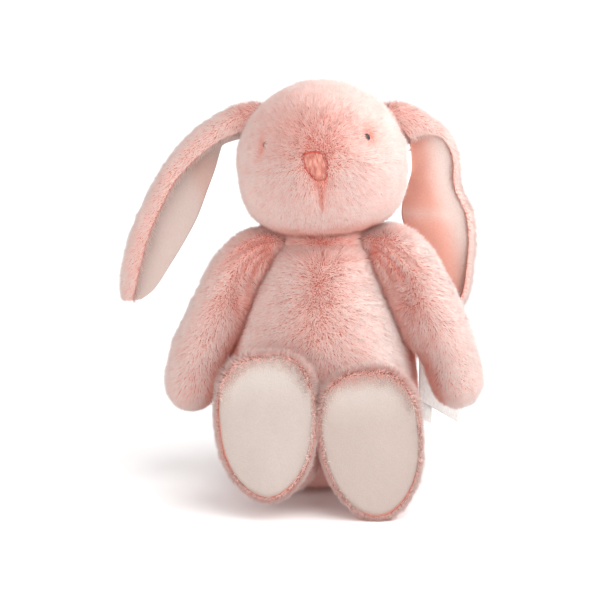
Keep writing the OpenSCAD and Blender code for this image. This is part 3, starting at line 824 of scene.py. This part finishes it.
def arm_skin(side):
    line = catmull(ARM_LINE, np.linspace(0, 1, 70))
    tangent = unit(np.gradient(line[:, :2], axis=0))
    line = own_shape(line, side)
    radius = line[:, 2] - ARM_INSET
    cap = np.radians(np.linspace(88, 8, 9))

    def end(i, a, way):
        centre = line[i, :2] + way * tangent[i] * radius[i] * math.sin(a)
        return centre, tangent[i], radius[i] * math.cos(a)

    rows = [end(0, a, -1) for a in cap] + list(zip(line[:, :2], tangent, radius))
    rows += [end(-1, a, 1) for a in cap[::-1]]
    cos, sin = circle(72)
    rings = []
    for centre, along, r in rows:
        full = 0.38 * smoothstep(24, 34, centre[0]) * smoothstep(66, 84, centre[1])
        wide = r * cos * (1 + full * smoothstep(0.3, -0.7, cos))
        rings.append(np.stack([centre[0] - along[1] * wide, r * sin, centre[1] + along[0] * wide], 1))
    mirror = np.diag([side, 1, 1]) @ turn("Z", -ARM_FORWARD)
    place = mirror @ turn("Y", -ARM_OUT[side])
    skin = Skin(np.array(rings), place, mirror @ ARM_ROOT - place @ ARM_ROOT)
    p, n = skin.local, skin.normals
    return skin.move(p + n * (0.5 * noise(p, 16, 900 + side) - 1.3 * arm_folds(p, n))[:, None])


def arm_rule(side):
    """Pile runs down the arm and swirls out on its front; its tone carries painted light on the +x arm
    and painted shade in folds, next to the body and near the neck.
    """
    def rule(p, n):
        near = bell(p - SWIRL, 10)
        from_root = np.linalg.norm(p - np.array([22, 0, 118.5]), axis=1)
        lean = np.array([0.42, -0.1, -0.9]) * (0.58 - 0.45 * near)[:, None]
        lean = lean + unit(p - SWIRL) * (0.35 * near)[:, None]
        inner = smoothstep(-0.2, -0.75, n[:, 0])
        folds = arm_folds(p, n)
        across, reach = arm_across(p)
        # The streak along the front of the +x arm is partly combed streaks and partly painted shade.
        streak = ridge(across + 3, 5) * smoothstep(12, 24, reach) * smoothstep(75, 60, reach)
        streak = streak * (side > 0) * smoothstep(0.2, -0.4, n[:, 1])
        # Painted light and shade: the +x arm is paler, and the pile near the neck, on the inner side
        # and in the folds is darker.
        tone = 0.88 + 0.04 * side - 0.12 * near - 0.24 * smoothstep(34, 16, from_root) - 0.62 * inner
        tone = tone - 0.6 * folds - streak * (0.2 + 0.3 * noise(p * np.array([1, 1, 0.35]), 2.0, 950))
        tip = smoothstep(58, 44, p[:, 2])
        return lean, 1 - 0.25 * smoothstep(26, 8, from_root) - 0.2 * tip - 0.3 * folds, tone
    return rule


def shoulder_seam(u):
    """Ring of thread round an arm's root."""
    along = unit(ARM_LINE[1, :2] - ARM_LINE[0, :2])
    across = np.array([-along[1], 0, along[0]])
    f = 2 * np.pi * u[:, None]
    return ARM_ROOT + 5.0 * (np.cos(f) * across + np.sin(f) * np.array([0, 1.0, 0]))


for side, name in SIDES:
    skin = arm_skin(side)
    shoulder = SHOULDERS[side]
    away = skin.out(np.array([40.0, 0, 110.0]))
    reach = away - shoulder
    bend = ("torso", f"arm_{name}", shoulder - reach * 0.15, away + reach * 0.1)
    dress(skin.object(f"arm_{name}_skin", BACKING), bend=bend,
          replaces=(f"arm_{name}_front_panel", f"arm_{name}_back_panel"))
    fur(f"arm_{name}_pile", skin, 5.2, arm_rule(side), 0.21, 300 + side, bend=bend)
    stitches(f"shoulder_{name}_stitches", running_stitch(shoulder_seam, 16), 0.35, f"arm_{name}",
             (f"shoulder_{name}_thread",), skin)


# ---- Legs and soles ----

FOOT_W, FOOT_H, SOLE_LEAN, LEG_L, LEG_ROOT_R = 48.0, 70.0, 14.0, 40.5, 16.0
SOLE_RISE = FOOT_H / 2 * math.cos(math.radians(SOLE_LEAN)) - 24
LEG_SPLAY = {1: 5.0, -1: -7.5}
LEG_LIFT = {1: 0.0, -1: 8.0}
LEG_ROLL = -6.0
SOLE_W, SOLE_H, SOLE_EGG, SOLE_BACK = 0.475 * FOOT_W + 0.4, 0.48 * FOOT_H + 0.4, 0.08, -2.2
RIM_Y = -36
LEG_LINE = np.array([
    [0, 0, LEG_ROOT_R, LEG_ROOT_R, 0, 0],
    [7, 0, 14.6, 14.6, 0, 0],
    [15, 0.15 * SOLE_RISE, 15.8, 17, 0.01, 0.2 * SOLE_LEAN],
    [23, 0.4 * SOLE_RISE, 0.38 * FOOT_W, 0.32 * FOOT_H, 0.03, 0.5 * SOLE_LEAN],
    [31, 0.78 * SOLE_RISE, 0.45 * FOOT_W, 0.42 * FOOT_H, 0.06, 0.8 * SOLE_LEAN],
    [36, 0.97 * SOLE_RISE, 0.49 * FOOT_W, 0.485 * FOOT_H, 0.08, SOLE_LEAN],
    [39, SOLE_RISE, 0.5 * FOOT_W, 0.5 * FOOT_H, 0.08, SOLE_LEAN],
    [LEG_L, SOLE_RISE, 0.475 * FOOT_W, 0.48 * FOOT_H, 0.08, SOLE_LEAN]])


def egg(a, b, k, t):
    """An oval whose upper end is wider by k, a little square at the shoulders, at angles t."""
    square = 1 + 6 * k * (np.sin(2 * t) ** 2) * 0.10 * (1 + np.sin(t))
    return np.stack([a * np.cos(t) * (1 + 1.5 * k * np.sin(t)) * square, b * np.sin(t) * square], 1)


def leg_ring(s, inset):
    q = egg(s[2] - inset, s[3] - inset, s[4], 2 * np.pi * np.arange(96) / 96)
    lean = math.radians(s[5])
    return np.stack([q[:, 0], q[:, 1] * math.sin(lean) - s[0], s[1] + q[:, 1] * math.cos(lean)], 1)


def leg_place(side):
    place = turn("X", -LEG_LIFT[side]) @ turn("Z", LEG_SPLAY[side]) @ turn("Y", LEG_ROLL)
    return place, HIPS[side]


def leg_skin(side):
    r = LEG_ROOT_R - SKIN_INSET
    rings = [leg_ring([-r * math.sin(a), 0, r * math.cos(a), r * math.cos(a), 0, 0], 0)
             for a in np.radians(np.linspace(86, 10, 8))]
    rings += [leg_ring(s, SKIN_INSET - 0.9 * smoothstep(28, 38, s[0]))
              for s in catmull(LEG_LINE, np.linspace(0, 0.965, 60))]
    end = LEG_LINE[-1]
    for share, back in ((0.90, 2.6), (0.80, 3.4)):
        rings.append(leg_ring([end[0] - back, end[1], *(end[2:4] - SKIN_INSET) * share, *end[4:]], 0))
    skin = Skin(np.array(rings), *leg_place(side))
    p, n = skin.local, skin.normals
    move = 0.5 * noise(p, 15, 800 + side)
    if side < 0:
        low = smoothstep(-4, -20, p[:, 2] - SOLE_RISE)
        low = low * smoothstep(-8, -18, p[:, 1]) * smoothstep(-37, -31, p[:, 1])
        move = move + 4.5 * low * smoothstep(0.1, 0.7, n[:, 0])
    return skin.move(p + n * move[:, None])


SOLE_WAY = turn("X", 90 - SOLE_LEAN) @ np.array([0, 0, 1.0])


def from_sole(p):
    """Which way each point lies from the middle line of the sole."""
    return unit(np.stack([p[:, 0], np.zeros(len(p)), p[:, 2] - SOLE_RISE], 1))


def leg_rule(p, n):
    """Pile runs from the hip to the foot and stands out round the rim of the sole; the paler rim is
    partly painted light through the fibres, and the darker pile next to the hip is painted shade.
    """
    rim = smoothstep(30, 38, -p[:, 1])
    lean = np.array([0, -0.6, -0.1]) * (1 + 0.15 * rim)[:, None] + from_sole(p) * (0.2 * rim)[:, None]
    return lean, 1 - 0.25 * rim, 0.66 + 0.32 * rim - 0.2 * smoothstep(12, 0, -p[:, 1])


def rim_rule(p, n):
    """The pile beside the sole stands forward and curls a little over the panel's edge."""
    toes = smoothstep(10, 34, p[:, 2] - SOLE_RISE)
    lean = np.array([0, -0.82, 0]) - from_sole(p) * (0.05 + 0.2 * toes)[:, None]
    # The high tone here is partly painted light through the fibres.
    return lean, 0.8 + 0.25 * toes, np.full(len(p), 0.9)


def sole_frame(side):
    """Matrix and offset that take sole coordinates (x, toes up, out of the sole) to the toy."""
    place, hip = leg_place(side)
    tilt = turn("X", 90 - SOLE_LEAN)
    return place @ tilt, hip + place @ np.array([0, -LEG_L, SOLE_RISE])


def sole_edge(u):
    """Points just inside the seam of a sole, in sole coordinates."""
    t = 2 * np.pi * u
    flat = egg(SOLE_W - 0.1, SOLE_H - 0.1, SOLE_EGG, t)
    return np.concatenate([flat, (-0.5 + 0.1 * np.sin(40 * t))[:, None]], 1)


def sole_skin(side):
    """A domed velour panel whose edge turns in to the seam, closed by a flat back."""
    outline = egg(SOLE_W, SOLE_H, SOLE_EGG, 2 * np.pi * np.arange(120) / 120)
    shares = np.concatenate([np.linspace(0.002, 0.9, 40), np.linspace(0.92, 1.0, 8)])
    rows = [(s, 1.7 * (1 - s ** 2) - 0.9 * smoothstep(0.9, 1.0, s)) for s in shares]
    rows += [(s, SOLE_BACK) for s in (0.985, 0.5, 0.002)]
    rings = [np.concatenate([outline * s, np.full((120, 1), z)], 1) for s, z in rows]
    skin = Skin(np.array(rings), *sole_frame(side))
    p = skin.local
    wave = 0.45 * noise(p * np.array([1, 0.7, 0]), 13, 700 + side) + 0.10 * noise(p, 3.0, 710 + side)
    return skin.move(p + np.array([0, 0, 1.0]) * (wave * (p[:, 2] > -1.6))[:, None])


for side, name in SIDES:
    skin, body = leg_skin(side), f"leg_{name}"
    dress(skin.object(f"leg_{name}_skin", SHADED_LEG_BACKING), body,
          replaces=(f"leg_{name}_outer_panel", f"leg_{name}_inner_panel"))
    fur(f"leg_{name}_pile", skin, 5.0, leg_rule, 0.21, 400 + side, body,
        keep=lambda p, n: np.where(p[:, 1] > 5, 0.05, 1.0) * (p[:, 1] > RIM_Y))
    fur(f"leg_{name}_rim_pile", skin, 7.0, rim_rule, 0.20, 410 + side, body, material=LIT_RIM_PLUSH,
        keep=lambda p, n: (p[:, 1] <= RIM_Y) * (n @ SOLE_WAY < 0.75))
    sole = sole_skin(side)
    # Painted shade: the sole darkens towards its lower end, and the +x sole is darker all over.
    shade = 0.33 * smoothstep(0.42 * FOOT_H, 0.1 * FOOT_H, sole.local[:, 1])
    shade = shade + (0.2 if side > 0 else 0)
    dress(tinted(sole.object(f"sole_{name}_velour", SOLE), 0.0, shade), body,
          (f"sole_{name}",))
    stitches(f"sole_{name}_stitches", running_stitch(sole_edge, 84), 0.24, body,
             (f"sole_{name}_thread",), sole, outward=(0, 0, 1.0))


# ---- Ears ----
# Each station holds the outer line x z, the back rim x z, the front flap's width and reach,
# the back flap's depth at its middle and rim, and the depth of the outer line.

EAR_LINES = {
    1: [[31.5, 187.5, 43, 169.5, 13, 4.5, 5, 5.5, 4], [41, 187.5, 44, 162, 14, 5, 6, 8, 4],
        [51.5, 182.5, 44.5, 154, 7, 4.5, 5, 11, 4], [61, 175.5, 43.5, 148, 2.5, 3.5, 3.5, 13, 5],
        [67.5, 163.5, 42, 142, 1.5, 2.5, 3, 14, 6], [69.5, 147, 40.5, 136, 1.5, 2.5, 3, 14, 7],
        [75.5, 133, 40.5, 128, 1.5, 2.5, 3, 13, 8], [77.2, 118, 45, 117, 1.5, 2.5, 3, 11, 9],
        [76.2, 102.5, 53, 104.5, 1.5, 2, 2.5, 7, 9.5], [74.5, 91, 61, 93.5, 1.5, 2, 1.5, 4, 9.5],
        [70, 83, 64, 85, 1, 1.5, 1, 2, 9.5]],
    -1: [[-30.5, 187.5, -42.5, 168.5, 13, 4.5, 5, 5.5, 4], [-42.5, 186, -49.5, 166, 13, 5, 5, 6, 3.5],
         [-54.5, 180.5, -51.5, 162, 9.5, 5, 5, 7, 3], [-67.5, 171, -54, 154, 8.5, 5, 5, 8, 2],
         [-81, 154, -58, 143.5, 7, 5, 5, 9, 1], [-90.5, 136, -63, 130, 7, 5, 5, 9, 0],
         [-96, 123, -69, 118.5, 7, 5, 5, 8, 0], [-100, 109, -76, 107, 7, 4.5, 4, 7, 0],
         [-102, 96.5, -84.5, 94, 6, 4, 3, 5, 0], [-100.5, 90, -91.5, 88.5, 3, 2.5, 2, 3, 0]]}
EAR_PLUSH_T, EAR_CLOTH_T = 3.4, 1.3
EAR_ROWS, EAR_STEPS = 110, 44


def ear_sheet(side, outer, inner):
    """Rings of a sheet between two offsets from the fold line, from inside the head to the tip."""
    lines = np.array(EAR_LINES[side])
    inside = lines[0] + np.array([-8.0 * side, -3.0, -4.0 * side, 1.0, 0, 0, 0, -1.0, 0])
    rings = []
    for s in catmull(np.concatenate([[inside], lines]), np.linspace(0, 1, EAR_ROWS)):
        outer_line, back_rim = s[:2], s[2:4]
        flap, reach, middle, rim, depth = s[4:]
        across = unit(outer_line - back_rim)
        mid = outer_line - across * EAR_PLUSH_T
        back = math.hypot(*(outer_line - back_rim)) - EAR_PLUSH_T
        fold = [[-flap, -reach], [-0.35 * flap, -0.8 * reach], [0, 0], [-0.22 * back, 0.75 * middle],
                [-0.55 * back, middle + 0.3 * (rim - middle)], [-back, rim]]
        w = np.linspace(0, 1, EAR_STEPS)
        line = catmull(fold, w)
        step = unit(catmull(fold, np.minimum(w + 0.01, 1)) - catmull(fold, np.maximum(w - 0.01, 0)))
        normal = np.stack([step[:, 1], -step[:, 0]], 1)
        flat = np.concatenate([line + outer * normal, (line + inner * normal)[::-1]])
        rings.append(np.stack([mid[0] + across[0] * flat[:, 0], depth + flat[:, 1],
                               mid[1] + across[1] * flat[:, 0]], 1))
    return np.array(rings)


def ear_cut(side):
    """Greatest width, length and area of an ear's leaf laid flat, in metres."""
    leaf = ear_sheet(side, 0.0, 0.0)[:, :EAR_STEPS]
    wide = np.linalg.norm(np.diff(leaf, axis=1), axis=2).sum(1)
    step = np.linalg.norm(np.diff(leaf[:, EAR_STEPS // 2], axis=0), axis=1)
    return wide.max() * MM, step.sum() * MM, ((wide[1:] + wide[:-1]) / 2 * step).sum() * MM ** 2


def ear_layer(side, outer, inner):
    """One cloth of the ear, with soft lengthwise creases."""
    skin = Skin(ear_sheet(side, outer, inner))
    p = skin.local
    wave = 0.8 * noise(p * np.array([1, 0.4, 0.45]), 9, 600 + side) + 0.3 * noise(p, 5, 610 + side)
    return skin.move(p + np.array([0, 1.0, 0]) * wave[:, None])


def ear_rule(side):
    """Pile runs along the ear to its tip and out over both rims, short on the front of the flap; it is
    darker at the root as painted shade, and paler on the front of the +x ear's flap as painted light.
    """
    lean = unit(np.array([side * 0.35, 0, -0.94])) * 0.62 + np.array([side * 0.2, -0.15, 0])
    short, pale = (0.5, 0.2) if side > 0 else (0.15, -0.06)

    def rule(p, n):
        root = smoothstep(20, 6, np.linalg.norm(p - np.array([side * 32, 4, 180]), axis=1))
        front = smoothstep(-0.1, -0.7, n[:, 1]) * smoothstep(174, 160, p[:, 2])
        # Painted shade at the root next to the head; on the +x ear the front of the flap gets painted
        # light.
        tone = 0.85 - 0.25 * root + 0.10 * smoothstep(0.2, 0.9, n[:, 0] * side) + pale * front
        return np.tile(lean, (len(p), 1)), 1 - short * front, tone
    return rule


def ear_painted_bounce(side, p):
    """Painted pink bounce light from the plush on the lining: strongest deep in the fold next to the
    head, fading to the outer rim.
    """
    if side < 0:
        fold = smoothstep(-62, -54, p[:, 0] + 0.35 * (p[:, 2] - 130)) * smoothstep(110, 125, p[:, 2])
        return 0.16 + 0.4 * fold * smoothstep(165, 155, p[:, 2])
    edge = np.interp(p[:, 2], [90, 110, 135, 150, 165, 180], [71, 68, 60, 55, 53, 50])
    band = 0.35 * ridge(p[:, 2] - 131, 3.5)
    return 0.10 + (0.88 - band) * smoothstep(7, -7, p[:, 0] - edge)


for side, name in SIDES:
    cloth, lining = ear_layer(side, EAR_CLOTH_T, 0.1), ear_layer(side, 0.0, -EAR_CLOTH_T)
    outer_line, back_rim = np.split(np.array(EAR_LINES[side][0][:4]), 2)
    middle = (outer_line + back_rim) / 2
    start, outward = np.array([middle[0], 4, middle[1]]), np.array([side * 0.85, 0, 0.5])
    bend = ("head", f"ear_{name}", start - outward, start + outward * 14 - np.array([0, 0, 6]))
    leaves = cloth.object(f"ear_{name}_cloth", BACKING), lining.object(f"ear_{name}_velour", VELOUR)
    wide, long, area = ear_cut(side)
    dress(leaves[0], bend=bend, replaces=(f"ear_{name}_plush",))
    # Painted shade on the lining of the ear on the -x side, less towards its top.
    shade = 0.5 - 0.35 * smoothstep(158, 172, lining.local[:, 2]) if side < 0 else 0.0
    dress(tinted(leaves[1], ear_painted_bounce(side, lining.local), shade), bend=bend,
          replaces=(f"ear_{name}_lining",))
    furry = np.arange(len(cloth.local)) % (2 * EAR_STEPS) < EAR_STEPS * 0.93
    cover = copy.copy(cloth)
    cover.quads = cloth.quads[furry[cloth.quads].sum(1) >= 2]
    fur(f"ear_{name}_pile", cover, 5.4, ear_rule(side), 0.20, 500 + side, bend=bend, length=3.4)


# ---- Tail ----

tail_lo, tail_hi = box_mm("tail_cover")
TAIL_R = (tail_hi[2] - tail_lo[2]) / 2
TAIL_INSET = 2.6
TAIL = Skin(ball(TAIL_R - TAIL_INSET, 40, 64), None, (tail_lo + tail_hi) / 2 - ORIGIN)
TAIL.local += TAIL.normals * (0.8 * noise(TAIL.local, 7, 77))[:, None]


def tail_rule(p, n):
    """Long pile that stands out all round and hangs a little."""
    return np.tile([0, 0.1, -0.35], (len(p), 1)), np.ones(len(p)), np.full(len(p), 0.66)


dress(TAIL.object("tail_skin", BACKING), "tail", ("tail_cover",))
fur("tail_pile", TAIL, 6.0, tail_rule, 0.26, 600, "tail", length=5.6, jitter=0.3)


# ---- Nose and mouth ----

def nose_lanes():
    """Upright satin stitches side by side, proud in the middle of the nose."""
    rng = np.random.default_rng(5)
    lanes = 21
    for lane in range(lanes):
        s = -1 + 2 * (lane + 0.5) / lanes
        v = np.linspace(0.02, 1.0, 22)
        hold = np.abs(s) * NOSE_W / 2 < nose_width(v) + 0.2
        v = np.linspace(v[hold].min(), v[hold].max() - 0.03 * rng.random(), 18)
        x = s * NOSE_W / 2 * 0.97 + nose_slant(v) + 0.12 * rng.standard_normal()
        z = NOSE_Z - NOSE_H / 2 + v * NOSE_H
        lift = 0.8 * (1 - s ** 2) + 0.12 * rng.random() - 0.5 * smoothstep(0.25, 0, v)
        yield on_head(x, z, 2.8 - lift)


def nose_edges():
    """The stitched line along the nose's top and down its two sides."""
    v = np.linspace(0, 1, 16)
    top = NOSE_Z + NOSE_H / 2 - 0.2 - 1.4 * (2 * v - 1) ** 2
    yield on_head((v - 0.5) * NOSE_W * 0.9 + nose_slant(1.0), top, 2.1)
    for side in (-1, 1):
        x = side * (nose_width(v) + 0.15) + nose_slant(v)
        yield on_head(x, NOSE_Z + (v - 0.5) * NOSE_H, 2.3)


def mouth_line():
    """The short thread that hangs from the tip of the nose."""
    z = np.linspace(-15.0, -6.0, 14)
    return on_head(MOUTH_X + 0.2 * np.sin(z), z, 2.4)


stitches("nose_satin_stitches", nose_lanes(), 0.46, "head", ("nose_embroidery",), HEAD)
stitches("mouth_thread", [mouth_line()], 0.38, "head", ("mouth_stitch",), HEAD)
stitches("nose_edge_thread", nose_edges(), 0.5, "head", (), HEAD, thread=EDGE_THREAD)


# ---- Care labels ----

LABEL_BACK, LABEL_DROOP, TAPE_T = 16.0, 31.0, 0.12


def label(name, node, wide, long, curl, seed):
    """A folded satin tape: two leaves joined at the far edge, sewn down at the side seam."""
    lo, hi = (corner - ORIGIN for corner in box_mm(node))
    out, cross = turn("Z", LABEL_BACK)[:, 0], turn("Z", LABEL_BACK)[:, 1]
    droop = long * math.tan(math.radians(LABEL_DROOP))
    root = np.array([lo[0] + 0.3, lo[1] + 0.3, hi[2] - wide / 2])
    rows, cols = 60, 40
    u = np.linspace(0, 2, rows)
    leaf = np.where(u < 1, 1, -1)
    reach = np.where(u < 1, u, 2 - u) * (long - 0.5)
    gap = 0.9 * np.sin(np.pi * np.clip(u / 2, 0, 1)) * leaf
    gap = np.where(np.abs(u - 1) < 0.12, gap * np.abs(u - 1) / 0.12, gap)
    w = np.linspace(-0.5, 0.5, cols) * wide
    flat = (root + reach[:, None, None] * out
            + (gap * 0.7 + curl * (reach / long) ** 2 * 3.0)[:, None, None] * cross
            + (w[None, :, None] - (droop * reach / long)[:, None, None]) * np.array([0, 0, 1.0]))
    flat = flat.reshape(-1, 3)
    flat = flat + cross * (0.35 * noise(flat, 8, seed))[:, None]
    face = flat + cross * TAPE_T * np.repeat(leaf, cols)[:, None]
    quads = grid_faces(rows, cols, wrap=False)
    n = rows * cols
    border = []
    for k in range(0, n - cols, cols):
        border.append([k, k + cols, k + cols + n, k + n])
        border.append([k + cols - 1, k + cols - 1 + n, k + 2 * cols - 1 + n, k + 2 * cols - 1])
    for k in range(cols - 1):
        border.append([k, k + n, k + 1 + n, k + 1])
        last = n - cols + k
        border.append([last, last + 1, last + 1 + n, last + n])
    faces = [quads, quads[:, ::-1] + n, np.array(border)]
    obj = new_mesh(name, np.concatenate([face, flat]), faces, SATIN)
    dress(obj, "labels", (node,))


label("care_label_tape", "care_label", 24.0, 25.0, 0.8, 31)
label("size_label_tape", "size_label", 10.0, 8.0, 0.6, 32)


# ---- Floor, light and camera ----

def stage():
    """A pale floor that curves up into a wall behind the toy."""
    mat, tree, shader = material("pale_floor", roughness=0.9)
    grain = texture_noise(tree, 40, 2.0)
    white = ramp(tree, grain, (0.93, 0.93, 0.93, 1), (0.95, 0.95, 0.95, 1))
    tree.links.new(white, shader.inputs["Base Color"])
    size, back, bend = 3.0, 1.2, 0.6
    s = np.linspace(0, 1, 24)
    y = np.concatenate([[-size], back - bend + bend * np.sin(s * np.pi / 2), [back]])
    z = np.concatenate([[0], bend - bend * np.cos(s * np.pi / 2), [size]])
    rows = np.stack([np.stack([np.full(len(y), x), y, z], 1) for x in (-size, size)], 1) / MM
    faces = [grid_faces(len(y), 2, wrap=False)]
    new_mesh("floor_sweep", rows.reshape(-1, 3) - ORIGIN, faces, mat)


def put(name, data, at, way):
    """Places a light or a camera at a point, looking along a direction."""
    obj = bpy.data.objects.new(name, data)
    bpy.context.collection.objects.link(obj)
    obj.location = at
    obj.rotation_mode = "QUATERNION"
    obj.rotation_quaternion = Vector(way).to_track_quat("-Z", "Y")
    return obj


def area_light(name, at, size, power):
    data = bpy.data.lights.new(name, "AREA")
    data.size, data.energy = size, power
    put(name, data, at, np.array([0, 0, 0.1]) - np.array(at))


stage()
world = bpy.data.worlds.new("studio")
bpy.context.scene.world = world
world.use_nodes = True
world.node_tree.nodes["Background"].inputs["Color"].default_value = (1.0, 0.995, 0.99, 1)
world.node_tree.nodes["Background"].inputs["Strength"].default_value = 0.85
area_light("key", (0.95, -0.6, 1.05), 2.0, 29)
area_light("fill", (-0.5, -1.3, 0.35), 1.0, 5.5)

CAMERA_AZ, CAMERA_EL, CAMERA_D, AIM = 2.5, 8.5, 0.9, (-11, 0, 89)
camera_data = bpy.data.cameras.new("camera")
camera_data.sensor_width, camera_data.lens = 36, 108
camera_data.clip_start, camera_data.clip_end = 0.01, 20
az, el = math.radians(CAMERA_AZ), math.radians(CAMERA_EL)
back_way = np.array([math.sin(az) * math.cos(el), -math.cos(az) * math.cos(el), math.sin(el)])
target = (ORIGIN + np.array(AIM)) * MM
bpy.context.scene.camera = put("camera", camera_data, target + back_way * CAMERA_D, -back_way)
bpy.context.scene.view_settings.view_transform = "Standard"
